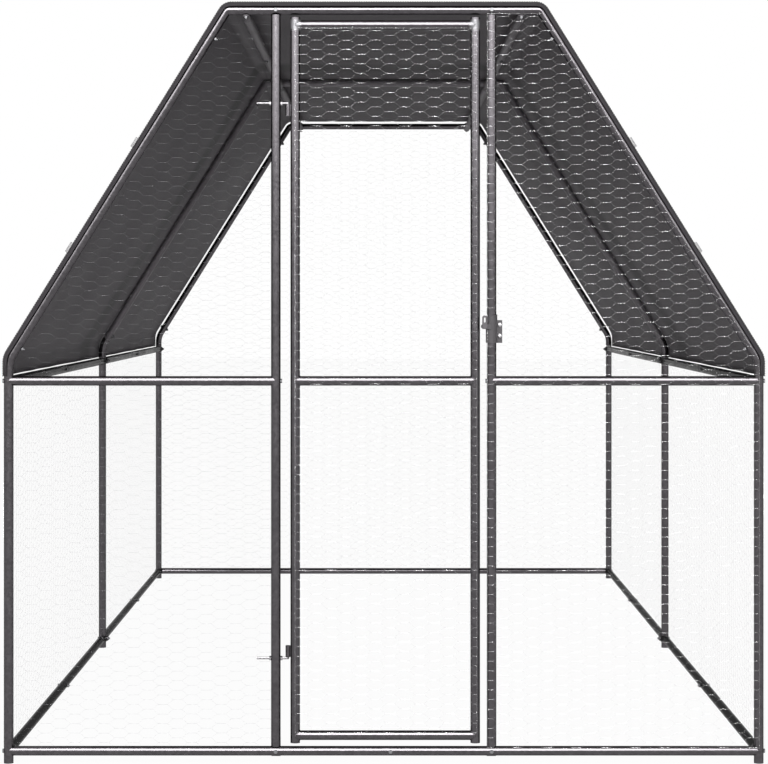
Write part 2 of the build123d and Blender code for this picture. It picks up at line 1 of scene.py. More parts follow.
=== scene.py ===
import json
from contextlib import contextmanager
from math import atan2, ceil, cos, exp, hypot, pi, radians, sin, sqrt, tan
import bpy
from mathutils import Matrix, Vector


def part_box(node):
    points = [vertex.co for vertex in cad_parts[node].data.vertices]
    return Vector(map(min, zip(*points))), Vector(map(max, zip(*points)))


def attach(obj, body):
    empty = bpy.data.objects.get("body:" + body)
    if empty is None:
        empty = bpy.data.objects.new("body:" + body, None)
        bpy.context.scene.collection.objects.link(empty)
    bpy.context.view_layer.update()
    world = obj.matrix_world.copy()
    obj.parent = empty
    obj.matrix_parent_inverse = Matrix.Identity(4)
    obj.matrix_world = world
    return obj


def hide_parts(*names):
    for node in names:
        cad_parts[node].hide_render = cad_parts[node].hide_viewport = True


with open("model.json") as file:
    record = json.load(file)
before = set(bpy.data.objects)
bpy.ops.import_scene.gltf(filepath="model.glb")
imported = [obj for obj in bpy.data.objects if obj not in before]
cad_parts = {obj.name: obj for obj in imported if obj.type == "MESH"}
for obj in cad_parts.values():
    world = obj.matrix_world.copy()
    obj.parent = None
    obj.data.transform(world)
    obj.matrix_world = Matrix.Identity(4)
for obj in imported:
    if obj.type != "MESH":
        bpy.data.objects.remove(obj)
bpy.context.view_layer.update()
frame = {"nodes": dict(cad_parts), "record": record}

from types import SimpleNamespace

import bmesh
import bpy
from bpy.props import FloatProperty, FloatVectorProperty, IntProperty, PointerProperty
from bpy.types import Operator, Panel, PropertyGroup
from mathutils import Matrix, Vector
from mathutils.noise import noise as wander

bl_info = {
    "name": "Walk-in chicken cage",
    "version": (1, 0, 0),
    "blender": (4, 5, 0),
    "location": "3D View > Sidebar > Chicken cage",
    "description": "Dresses the tube frame of a walk-in chicken cage",
    "category": "Object",
}

ALONG_X, ALONG_Y, ALONG_Z = Vector((1, 0, 0)), Vector((0, 1, 0)), Vector((0, 0, 1))
SIDES = {"left": -1, "right": 1}
ARCHES = ("front", "mid", "back")
WHITE = (1, 1, 1, 1)


# Sizes, finishes and the stage
def number(default, description, **more):
    return FloatProperty(default=default, description=description, **more)


def length(default, description):
    return number(default, description, unit="LENGTH")


def share(default, description):
    return number(default, description, subtype="FACTOR")


def pair(default, description):
    return FloatVectorProperty(default=default, description=description, size=2)


def colour(default, description):
    return FloatVectorProperty(
        default=default, description=description, subtype="COLOR", min=0, max=1
    )


def middle(node, axis):
    low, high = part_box(node)
    return (low[axis] + high[axis]) / 2


TUBE_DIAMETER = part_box("front_top_tube")[1].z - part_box("front_top_tube")[0].z
POST_OFFSET = -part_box("front_left_post")[0].x - TUBE_DIAMETER / 2


class CageFrame(PropertyGroup):
    """Places of the tube frame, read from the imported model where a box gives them"""

    tube_diameter: length(TUBE_DIAMETER, "Outside diameter of every frame tube")
    post_offset: length(POST_OFFSET, "Middle to a post's axis")
    front_plane: length(middle("front_top_tube", 1), "Plane of the front arch")
    back_plane: length(middle("back_top_tube", 1), "Plane of the back arch")
    top_height: length(middle("front_top_tube", 2), "Axis of the top tubes")
    eave_height: length(1.060, "Where post and rafter axes cross")
    top_half_width: length(0.413, "Middle to where rafter and top tube cross")


class CageNetting(PropertyGroup):
    """Sizes and colours of the hexagonal wire netting"""

    column_pitch: length(0.0386, "Between two columns of twists")
    row_pitch: length(0.0251, "Between two twists in a column")
    twist_length: length(0.0245, "Length of a twisted pair of wires")
    wire_diameter: length(0.00020, "Diameter of one wire")
    wall_diameter: length(0.00019, "Diameter of one wire in the side walls")
    fine_diameter: length(0.00012, "Diameter of one wire in the left front panel")
    turns: number(1.5, "Turns in one twist")
    unevenness: length(0.0009, "How far the mesh strays from a true grid")
    edge_share: share(0.9, "Diameter of a panel's edge wire, in wire diameters")
    wire_colour: colour((0.92, 0.91, 0.92), "Colour of the galvanised wire")
    # Painted shade: the left front panel's wire is a darker copy of the wire colour, standing in
    # for the shade of the cover over it
    shaded_wire_colour: colour((0.25, 0.25, 0.26), "Colour of the fine wire")
    # Painted shade: slanted wires get this share of the wire colour, standing in for the lamps they
    # don't reflect
    slant_shade: share(0.40, "Colour of the slanted wires, in shares of the wire colour")
    door_grid: pair((-0.1765, 1.9019), "One twist of the door's net, x and z")
    right_grid: pair((0.3134, 1.9387), "One twist of the right net, x and z")
    latch_room: length(0.006, "Clear of wire round the latch clamp")
    top_lap: length(0.002, "Right net over the front top tube")
    stile_lap: length(0.016, "Door net over the right stile")
    low_rail_lap: length(0.005, "Door net over the bottom rail")
    top_rail_lap: length(0.003, "Door net over the top rail")


class CageTubes(PropertyGroup):
    """Finish of the frame tubes and of the small steel parts"""

    tube_colour: colour((0.0645, 0.0600, 0.0645), "Colour of the galvanised tube")
    tube_pale: colour((0.117, 0.110, 0.117), "Lighter crystals in the zinc")
    tube_roughness: share(0.22, "Roughness of the tube")
    # Painted light: the middle arch's upper tubes get a paler, matt copy of the tube finish, which
    # lightens the shade the cloth casts on them
    dull_colour: colour((0.182, 0.170, 0.182), "Colour of the middle arch's upper tubes")
    # Painted shade: the purlins get a darker share of that paler colour, for the shade under the
    # cloth
    purlin_share: share(0.7, "Colour of the purlins, in shares of the dull tube colour")
    spangle_size: length(0.007, "Size of a crystal in the tubes' zinc")
    steel_spangle: length(0.0045, "Size of a crystal on the latch")
    small_spangle: length(0.0035, "Size of a crystal on bolts, nuts and pins")
    zinc_colour: colour((0.13, 0.13, 0.135), "Colour of bolts and nuts")
    pin_colour: colour((0.16, 0.155, 0.16), "Colour of the hinge pins")
    nut_colour: colour((0.34, 0.33, 0.34), "Colour of the nuts on the hinge rods")
    fork_colour: colour((0.070, 0.066, 0.070), "Colour of the latch fork")
    head_colour: colour((0.56, 0.55, 0.56), "Colour of the latch's round heads")
    clamp_colour: colour((0.094, 0.090, 0.094), "Colour of the latch clamp")
    weld_width: length(0.0030, "Width of the weld beads on the door")
    spray_colour: colour((0.30, 0.30, 0.31), "Colour of the sprayed zinc at the welds")
    spray_reach: length(0.021, "From a weld's middle to the edge of the spray")


class CageFasteners(PropertyGroup):
    """Sizes of the bolts and nuts"""

    head_width: length(0.010, "Across the flats of a bolt head")
    head_height: length(0.0038, "Height of a bolt head")
    solid_head: length(0.004, "Height of a bolt head in the packed model")
    shank_diameter: length(0.0058, "Diameter of a bolt")
    thread_length: length(0.0095, "Ridged end of a bolt")
    thread_pitch: length(0.0010, "Between two ridges of a thread")
    nut_height: length(0.005, "Height of a nut")
    ridge_height: length(0.0003, "Height of a thread's ridges on the hinge rods")


class CageCover(PropertyGroup):
    """Sizes and colours of the roof cover"""

    gap: length(0.0043, "Between the rafters and the cloth")
    top_gap: length(0.0070, "Between the top tubes and the cloth")
    corner_radius: length(0.035, "Bend of the cloth at the top corners")
    thickness: length(0.0009, "Thickness of the coated cloth")
    skirt_gap: length(0.0006, "Between the posts and the skirt")
    eave_radius: length(0.060, "Bend of the cloth at the eaves")
    sag: length(0.017, "How far the cloth sinks between two arches")
    folds: length(0.006, "Height of the soft folds in the cloth")
    front_lift: length(0.0015, "How much further the cloth stands off the front arch")
    back_lift: length(0.0050, "How far the cloth stands off the back arch")
    mid_press: length(0.0036, "How much closer the cloth lies on the middle arch")
    mid_reach: length(0.25, "How far along the cage the middle arch draws the cloth down")
    head_reach: length(0.055, "How far from a bolt head the cloth stands off the middle arch")
    skirt_wave: length(0.006, "How far the loose skirt stands out between two arches")
    seam_width: length(0.036, "Lap of the two widths of cloth at the middle arch")
    crease_pitch: length(0.56, "Between two creases from folding")
    hem_width: length(0.028, "Width of the turned and sewn edge")
    hem_thickness: length(0.0009, "Thickness that a hem adds")
    layer_gap: length(0.0001, "Between two layers of cloth")
    hem_inset: length(0.0004, "Between the ends of the cloth and of its hem")
    wrap_radius: length(0.0175, "Bend of the front edge round the front arch")
    wrap_angle: number(1.22, "Turn of the front edge")
    roll_radius: length(0.0016, "Rolled edge at the front")
    stitch_length: length(0.0044, "Length of one stitch")
    stitch_pitch: length(0.0064, "Between two stitches")
    stitch_diameter: length(0.0009, "Diameter of the sewing thread")
    stitch_rows: length(0.006, "Between two rows of stitches")
    stitch_inset: length(0.004, "From a hem's inner edge to its first row of stitches")
    seam_inset: length(0.005, "From the seam's edges to its stitches")
    # Painted shade: a soft darker band in the cloth's colour, in front of the middle arch
    shade_band_place: length(-0.38, "Where the double cloth lies, from the middle arch")
    shade_band_width: length(0.125, "Half the breadth of the double cloth")
    # Painted glow: the cloth emits its own colour at this strength, standing in for light that
    # comes through it
    light_through: share(0.17, "Light that comes through the cloth")
    tape_width: length(0.0026, "Width of a woven tape")
    cloth_colour: colour((0.0615, 0.0566, 0.0615), "Colour of the cloth")
    thread_colour: colour((0.075, 0.073, 0.078), "Colour of the sewing thread")


class CageTies(PropertyGroup):
    """Sizes and colour of the webbing loops on the cover"""

    first_place: share(0.39, "Along the rafter from the top corner")
    second_place: share(0.69, "Along the rafter from the top corner")
    width: length(0.029, "Width of the webbing")
    thickness: length(0.0012, "Thickness of the webbing")
    loop: length(0.0044, "Height of the loop above the cover")
    span: length(0.022, "Length of the loop along the cage")
    foot: length(0.014, "Sewn end of the webbing")
    webbing_colour: colour((0.76, 0.75, 0.76), "Colour of the webbing")


class CageStage(PropertyGroup):
    """Camera, lamps and floor"""

    camera_distance: length(5.962, "Camera to the front arch")
    camera_height: length(1.216, "Camera above the ground")
    focal_pixels: number(2264.0, "Focal length in image pixels")
    image_width: IntProperty(default=768, description="Pixels")
    image_height: IntProperty(default=764, description="Pixels")
    centre_x: number(383.7, "Vanishing point, pixels")
    horizon_y: number(301.1, "Horizon, pixels")
    key_power: number(430.0, "Front lamp, watts")
    shine_power: number(1370.0, "Front reflector, watts")
    side_power: number(142.0, "Each side reflector, watts")
    fill_power: number(155.0, "Each low lamp, watts")
    surround: number(0.22, "Strength of the soft light")
    floor_glow: share(0.965, "How white the floor shows")
    floor_colour: colour((0.90, 0.90, 0.90), "Colour of the floor")


# Node trees
def operation(kind, swapped=False):
    """A method of Term that adds a Math node for two terms"""

    def method(self, other):
        return self.math(kind, *((other, self) if swapped else (self, other)))

    return method


class Term:
    """An output socket that takes part in Python sums"""

    def __init__(self, tree, socket):
        self.tree, self.socket = tree, socket

    def other(self, name):
        return Term(self.tree, self.socket.node.outputs[name])

    def math(self, kind, *terms):
        """A Math node of the terms that are given, or of this one alone"""
        numbered = dict(enumerate(terms or (self,)))
        return add_node(self.tree, "ShaderNodeMath", {"operation": kind}, numbered)

    __add__, __radd__ = operation("ADD"), operation("ADD", True)
    __sub__, __rsub__ = operation("SUBTRACT"), operation("SUBTRACT", True)
    __mul__, __rmul__ = operation("MULTIPLY"), operation("MULTIPLY", True)
    __truediv__, __rtruediv__ = operation("DIVIDE"), operation("DIVIDE", True)
    __pow__, __mod__ = operation("POWER"), operation("FLOORED_MODULO")
    least, most = operation("MINIMUM"), operation("MAXIMUM")

    def floor(self):
        return self.math("FLOOR")

    def absolute(self):
        return self.math("ABSOLUTE")

    def ridges(self, width):
        """Rises from 0 to 1 and falls again over each width"""
        return (self * (pi / width)).math("SINE").absolute()

    def clamped(self):
        return self.most(0.0).least(1.0)


def add_node(tree, kind, settings=None, numbered=None, output=0, **named):
    """Any node: its type, its settings, which are set first, and the values or links of its
    sockets by number or by name, with _ for a blank in a name"""
    node = tree.nodes.new(kind)
    for key, value in (settings or {}).items():
        setattr(node, key, value)
    for key, value in (numbered or named).items():
        socket = node.inputs[key.replace("_", " ") if key in named else key]
        for term in value if isinstance(value, list) else [value]:
            if isinstance(term, Term):
                tree.links.new(term.socket, socket)
            else:
                socket.default_value = term
    return Term(tree, node.outputs[output]) if node.outputs else None


def scaled(tint, factor):
    return [min(1.0, part * factor) for part in tint]


def mix_colours(tree, factor, *tints):
    """A Mix node in colour mode, where sockets 0, 6 and 7 give output 2"""
    first, second = (t if isinstance(t, Term) else (*t, 1.0) for t in tints)
    inputs = {0: factor, 6: first, 7: second}
    return add_node(tree, "ShaderNodeMix", {"data_type": "RGBA"}, inputs, 2)


def new_material(name):
    material = bpy.data.materials.new(name)
    material.use_nodes = True
    material.node_tree.nodes.clear()
    return material, material.node_tree


def finish_material(material, **named):
    tree = material.node_tree
    shader = add_node(tree, "ShaderNodeBsdfPrincipled", **named)
    add_node(tree, "ShaderNodeOutputMaterial", Surface=shader)
    return material


def surface_place(tree, kind="Object"):
    return add_node(tree, "ShaderNodeTexCoord", output=kind)


def split(tree, vector):
    """The x and y of a vector"""
    across = add_node(tree, "ShaderNodeSeparateXYZ", Vector=vector)
    return across, across.other("Y")


def noise(tree, place, scale, detail=2.0, roughness=0.5):
    more = {"Detail": detail, "Roughness": roughness}
    return add_node(tree, "ShaderNodeTexNoise", Vector=place, Scale=scale, **more)


def bump(tree, height, strength, distance):
    more = {"Strength": strength, "Distance": distance}
    return add_node(tree, "ShaderNodeBump", Height=height, **more)


# Finishes
def near_spots(tree, place, spots, reach, stray):
    """1 close to any of the spots, falling to 0 beyond their reach"""
    fade, nearest = 0.006, None
    for spot in spots:
        settings, inputs = {"operation": "DISTANCE"}, {0: place, 1: tuple(spot)}
        distance = add_node(tree, "ShaderNodeVectorMath", settings, inputs, "Value")
        nearest = nearest.least(distance) if nearest else distance
    return ((reach - nearest + stray) / fade).clamped()


def zinc_material(name, dark, pale, roughness, spangle, metallic, spray=None):
    """Zinc with its crystals; spray is (spots, reach, colour) of sprayed zinc over welds"""
    material, tree = new_material(name)
    place = surface_place(tree)
    scale = 1 / spangle
    cells = add_node(tree, "ShaderNodeTexVoronoi", output="Color", Vector=place, Scale=scale)
    grain = add_node(tree, "ShaderNodeSeparateColor", output="Red", Color=cells)
    cloud = noise(tree, place, 9.0, 3.0, 0.6)
    fine = noise(tree, place, 420.0, 2.0, 0.6)
    worn = ((noise(tree, place, 2.3) - 0.55) * 4.0).clamped()
    tint = mix_colours(tree, grain * 0.45 + cloud * 0.35 + fine * 0.2, dark, pale)
    tint = mix_colours(tree, worn * 0.35, tint, scaled(dark, 0.72))
    gloss = roughness + (cloud - 0.5) * 0.14 + (grain - 0.5) * 0.06 + worn * 0.08
    if spray:
        spots, reach, spray_colour = spray
        stray = (noise(tree, place, 130.0, 2.0, 0.6) - 0.5) * 0.010
        matt = near_spots(tree, place, spots, reach, stray)
        speckle = mix_colours(tree, fine, scaled(spray_colour, 0.8), spray_colour)
        tint = mix_colours(tree, matt * 0.9, tint, speckle)
        gloss = gloss + matt * 0.3
        metallic = metallic - matt * 0.45
    return finish_material(
        material,
        Base_Color=tint,
        Metallic=metallic,
        Specular_Tint=(0.15, 0.15, 0.15, 1.0),
        Roughness=gloss,
        Normal=bump(tree, fine * 0.6 + grain * 0.4, 0.10, 0.0004),
    )


def wire_material(name, tint, roughness, slant_shade):
    """Galvanised wire, with painted shade where the mesh is marked as slanted wire, standing in for
    the lamps that wire doesn't reflect
    """
    material, tree = new_material(name)
    place = surface_place(tree)
    slant = add_node(tree, "ShaderNodeAttribute", {"attribute_name": "slant"}, output="Fac")
    cloud = noise(tree, place, 14.0, 3.0, 0.6)
    fine = noise(tree, place, 900.0, 2.0, 0.6)
    surface = mix_colours(tree, cloud * 0.7 + fine * 0.3, scaled(tint, 0.84), tint)
    return finish_material(
        material,
        # Painted shade: slanted wires take a darker share of the colour
        Base_Color=mix_colours(tree, slant, surface, scaled(tint, slant_shade)),
        Metallic=1.0,
        Roughness=roughness + (fine - 0.5) * 0.12,
        Normal=bump(tree, fine, 0.08, 0.0002),
    )


def cloth_material(name, sizes):
    """Woven tape with a coat, with creases, a band of painted shade in front of the middle arch and
    a painted glow that stands in for light through the cloth
    """
    material, tree = new_material(name)
    place = surface_place(tree, "UV")
    across, along = split(tree, place)
    over = ((across / sizes.tape_width).floor() + (along / sizes.tape_width).floor()) % 2.0
    warp, weft = across.ridges(sizes.tape_width), along.ridges(sizes.tape_width)
    weave = over * (warp**0.45) * (0.55 + 0.45 * weft)
    weave = weave + (1.0 - over) * (weft**0.45) * (0.55 + 0.45 * warp)
    cloud = noise(tree, place, 3.0, 4.0, 0.55)
    fine = noise(tree, place, 600.0)
    drawn = add_node(tree, "ShaderNodeMapping", Vector=place, Scale=(160.0, 4.0, 1.0))
    streak = noise(tree, drawn, 1.0, 2.0, 0.6)
    pitch, crease_breadth, crease = sizes.crease_pitch, 0.007, 0.0
    for way, start in ((across, 0.21), (along, 0.13)):
        sway = (cloud - 0.5) * 0.02
        line = (((way + start + sway) / pitch) % 1.0 - 0.5).absolute() * pitch
        crease = (1.0 - line / crease_breadth).most(0.0) + crease
    # Painted shade: a soft band, darkest at its place in front of the middle arch, darkens the
    # cloth's colour
    off_shade_band = (along - sizes.shade_band_place) / sizes.shade_band_width
    shade_band = 1.0 / (1.0 + off_shade_band * off_shade_band * off_shade_band * off_shade_band)
    tint = sizes.cloth_colour
    shade = weave * 0.38 + cloud * 0.24 + fine * 0.12 + streak * 0.22 + crease * 0.02
    surface = mix_colours(tree, shade, scaled(tint, 0.60), scaled(tint, 1.42))
    surface = mix_colours(tree, shade_band * 0.62, surface, scaled(tint, 0.2))
    return finish_material(
        material,
        Base_Color=surface,
        # Painted glow: the cloth emits its own colour, standing in for light that comes through it
        Emission_Color=surface,
        Emission_Strength=sizes.light_through,
        Roughness=0.62 + (weave - 0.5) * 0.12 + (cloud - 0.5) * 0.2,
        Specular_IOR_Level=0.05,
        Normal=bump(tree, weave * 0.6 + fine * 0.15 + crease * 0.5, 0.5, 0.0004),
    )


def thread_material(name, tint):
    material, tree = new_material(name)
    fibre = noise(tree, surface_place(tree), 1500.0)
    return finish_material(
        material,
        Base_Color=mix_colours(tree, fibre, scaled(tint, 0.7), scaled(tint, 1.4)),
        Roughness=0.55 + fibre * 0.2,
        Normal=bump(tree, fibre, 0.2, 0.0002),
    )


def webbing_material(name, tint):
    material, tree = new_material(name)
    place = surface_place(tree, "UV")
    across, along = split(tree, place)
    rib, cord = 0.0016, 0.0024
    weave = along.ridges(rib) * 0.6 + across.ridges(cord) * 0.4
    cloud = noise(tree, place, 60.0, 3.0, 0.6)
    return finish_material(
        material,
        Base_Color=mix_colours(tree, weave * 0.6 + cloud * 0.4, scaled(tint, 0.62), tint),
        Roughness=0.6 + cloud * 0.2,
        Sheen_Weight=0.1,
        Normal=bump(tree, weave, 0.4, 0.0004),
    )


# Meshes and pieces
def add_object(name, data):
    holder = bpy.data.objects.new(name, data)
    bpy.context.scene.collection.objects.link(holder)
    return holder


def new_piece(name, mesh, material, body, replaced=None):
    piece = add_object(name, mesh)
    mesh.materials.clear()
    mesh.materials.append(material)
    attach(piece, body)
    if replaced:
        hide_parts(replaced)
    return piece


def mesh_from(name, points, faces, uvs=None, edges=()):
    mesh = bpy.data.meshes.new(name)
    mesh.from_pydata([tuple(p) for p in points], edges, faces)
    mesh.validate()
    mesh.polygons.foreach_set("use_smooth", [True] * len(mesh.polygons))
    if uvs:
        layer = mesh.uv_layers.new(name="UVMap")
        for corner, loop in zip(layer.data, mesh.loops):
            corner.uv = uvs[loop.vertex_index]
    return mesh


@contextmanager
def edited(mesh):
    shape = bmesh.new()
    shape.from_mesh(mesh)
    yield shape
    shape.to_mesh(mesh)
    shape.free()


def face_outwards(mesh):
    with edited(mesh) as shape:
        bmesh.ops.recalc_face_normals(shape, faces=shape.faces)


def ring_faces(first, count, sides, closed=False):
    """Faces between rings of points that follow one another, with caps unless they close up"""
    faces = []
    for i in range(count if closed else count - 1):
        here, ahead = first + i * sides, first + (i + 1) % count * sides
        for k in range(sides):
            n = (k + 1) % sides
            faces.append((here + k, here + n, ahead + n, ahead + k))
    if not closed:
        last = first + (count - 1) * sides
        faces.append(tuple(reversed(range(first, first + sides))))
        faces.append(tuple(range(last, last + sides)))
    return faces


def around(count):
    """The angles of a circle's even steps"""
    return [2 * pi * k / count for k in range(count)]


def along_line(line, k):
    """The direction of a line of points at one of them"""
    return (line[min(len(line) - 1, k + 1)] - line[max(0, k - 1)]).normalized()


def geometry_tree(name, floats, ints=""):
    """A node group that takes a geometry, a material and a number for each word"""
    tree = bpy.data.node_groups.new(name, "GeometryNodeTree")
    kinds = {"geometry": "Geometry", "material": "Material"}
    kinds.update(dict.fromkeys(floats.split(), "Float"))
    kinds.update(dict.fromkeys(ints.split(), "Int"))
    for key, kind in kinds.items():
        tree.interface.new_socket(name=key, in_out="INPUT", socket_type=f"NodeSocket{kind}")
    tree.interface.new_socket(name="geometry", in_out="OUTPUT", socket_type="NodeSocketGeometry")
    entry = tree.nodes.new("NodeGroupInput")
    return tree, SimpleNamespace(**{key: Term(tree, entry.outputs[key]) for key in kinds})


def end_tree(tree, geometry, material):
    solid = add_node(tree, "GeometryNodeRealizeInstances", Geometry=geometry)
    dressed = add_node(tree, "GeometryNodeSetMaterial", Geometry=solid, Material=material)
    tree.links.new(dressed.socket, tree.nodes.new("NodeGroupOutput").inputs["geometry"])
    return tree


def grown_mesh(name, start, tree, group, **own):
    """The plain mesh that a node group makes from a start mesh and a property group's values"""
    holder = add_object(name, start)
    modifier = holder.modifiers.new("nodes", "NODES")
    modifier.node_group = tree
    for item in tree.interface.items_tree:
        if item.in_out == "INPUT" and item.name != "geometry":
            value = own[item.name] if item.name in own else getattr(group, item.name)
            modifier[item.identifier] = value
    holder.update_tag()
    graph = bpy.context.evaluated_depsgraph_get()
    mesh = bpy.data.meshes.new_from_object(holder.evaluated_get(graph))
    bpy.data.objects.remove(holder)
    mesh.name = name
    return mesh


def xyz(tree, x=0.0, y=0.0, z=0.0):
    return add_node(tree, "ShaderNodeCombineXYZ", X=x, Y=y, Z=z)


def curve_line(tree, start, end):
    return add_node(tree, "GeometryNodeCurvePrimitiveLine", Start=start, End=end)


def resampled(tree, curve, count):
    return add_node(tree, "GeometryNodeResampleCurve", Curve=curve, Count=count)


def curve_ring(tree, resolution, radius):
    more = {"Resolution": resolution, "Radius": radius}
    return add_node(tree, "GeometryNodeCurvePrimitiveCircle", **more)


def swept(tree, curve, profile, **more):
    return add_node(tree, "GeometryNodeCurveToMesh", Curve=curve, Profile_Curve=profile, **more)


def joined(tree, *pieces):
    return add_node(tree, "GeometryNodeJoinGeometry", Geometry=list(reversed(pieces)))


def moved(tree, geometry, offset):
    return add_node(tree, "GeometryNodeSetPosition", Geometry=geometry, Offset=offset)


def on_points(tree, points, instance, **more):
    more.update(Points=points, Instance=instance)
    return add_node(tree, "GeometryNodeInstanceOnPoints", **more)


# Hexagonal netting
def marked(tree, geometry, value):
    settings = {"data_type": "FLOAT", "domain": "POINT"}
    more = {"Geometry": geometry, "Name": "slant", "Value": value}
    return add_node(tree, "GeometryNodeStoreNamedAttribute", settings, **more)


def netting_tree():
    floats = "column_pitch row_pitch twist_length wire_diameter turns unevenness"
    tree, at = geometry_tree("hexagonal_netting", floats, "columns rows")
    index = add_node(tree, "GeometryNodeInputIndex")
    column = ((index + 0.5) / at.rows).floor()
    row = index - column * at.rows
    place = xyz(tree, column * at.column_pitch, (row + (column % 2.0) * 0.5) * at.row_pitch)
    points = add_node(tree, "GeometryNodePoints", Count=at.columns * at.rows, Position=place)

    half, wire = at.twist_length * 0.5, at.wire_diameter
    twist = resampled(tree, curve_line(tree, xyz(tree, 0.0 - half), xyz(tree, half)), 5)
    factor = add_node(tree, "GeometryNodeSplineParameter", output="Factor")
    tilt = factor * at.turns * (2 * pi)
    twist = add_node(tree, "GeometryNodeSetCurveTilt", Curve=twist, Tilt=tilt)
    pair_size = {"Width": wire * 2.4, "Height": wire * 1.2}
    two_wires = add_node(tree, "GeometryNodeCurvePrimitiveQuadrilateral", **pair_size)
    cell = [marked(tree, swept(tree, twist, two_wires), 0.0)]
    one_wire = curve_ring(tree, 3, wire * 0.65)
    for hand in (-0.5, 0.5):
        start = xyz(tree, half * 0.97)
        end = xyz(tree, at.column_pitch - half * 0.97, at.row_pitch * hand)
        cell.append(marked(tree, swept(tree, curve_line(tree, start, end), one_wire), 1.0))
    field = on_points(tree, points, joined(tree, *cell))
    field = add_node(tree, "GeometryNodeRealizeInstances", Geometry=field)
    position = add_node(tree, "GeometryNodeInputPosition")
    sway, sway_up = split(tree, noise(tree, position, 11.0, 1.0, 0.4).other("Color"))
    loose = at.unevenness * 2.0
    out = sway.other("Z") * loose * 0.6
    offset = xyz(tree, (sway - 0.5) * loose, (sway_up - 0.5) * loose, out)
    return end_tree(tree, moved(tree, field, offset), at.material)


def finish_net(mesh, outline, radius, keep_out):
    """Cuts a net to its outline, clears the room of a part in it, and adds its edge wire"""
    sides, count = 6, len(outline)
    corners = [Vector(p) for p in outline]
    with edited(mesh) as shape:
        for start, end in zip(corners, corners[1:] + corners[:1]):
            way = (end - start).normalized()
            bmesh.ops.bisect_plane(
                shape,
                geom=shape.verts[:] + shape.edges[:] + shape.faces[:],
                dist=1e-6,
                plane_co=(*start, 0),
                plane_no=(way.y, -way.x, 0),
                clear_outer=True,
            )
        if keep_out:
            (x0, y0), (x1, y1) = keep_out
            spots = [(face, face.calc_center_median()) for face in shape.faces]
            inside = [face for face, p in spots if x0 < p.x < x1 and y0 < p.y < y1]
            bmesh.ops.delete(shape, geom=inside, context="FACES")
        points = []
        for i, here in enumerate(corners):
            into = (here - corners[i - 1]).normalized()
            out = (corners[(i + 1) % count] - here).normalized()
            mitre = (into + out).normalized()
            side = Vector((mitre.y, -mitre.x))
            spread = 1 / max(0.3, side.dot(Vector((out.y, -out.x))))
            for turn in around(sides):
                spot = here + side * (radius * cos(turn) * spread)
                points.append(shape.verts.new((*spot, radius * sin(turn))))
        tube = []
        for face in ring_faces(0, count, sides, True):
            tube.append(shape.faces.new([points[k] for k in face]))
            tube[-1].smooth = True
        bmesh.ops.recalc_face_normals(shape, faces=tube)


def net_panel(tree, node, outline, outward, body, material, wire, keep_out=None, grid=None):
    """One panel, with a twist of its netting at a given place"""
    sizes = bpy.context.scene.cage_netting
    lows, highs = ([pick(p[k] for p in outline) for k in (0, 1)] for pick in (min, max))
    steps = (2 * sizes.column_pitch, sizes.row_pitch)
    start = grid or lows
    corner = [start[k] - (ceil((start[k] - lows[k]) / steps[k]) + 1) * steps[k] for k in (0, 1)]
    columns = ceil((highs[0] - corner[0]) / sizes.column_pitch) + 2
    rows = ceil((highs[1] - corner[1]) / sizes.row_pitch) + 2
    name = f"{node}_wires"
    own = {"columns": columns, "rows": rows, "wire_diameter": wire, "material": material}
    mesh = grown_mesh(name, bpy.data.meshes.new("start"), tree, sizes, **own)
    mesh.transform(Matrix.Translation((*corner, 0)))
    finish_net(mesh, outline, wire * sizes.edge_share / 2, keep_out)
    basis = Matrix((ALONG_Z.cross(outward), ALONG_Z, outward)).transposed().to_4x4()
    centre = Vector([middle(node, axis) for axis in range(3)])
    basis.translation = outward * outward.dot(centre)
    mesh.transform(basis)
    new_piece(name, mesh, material, body, node)


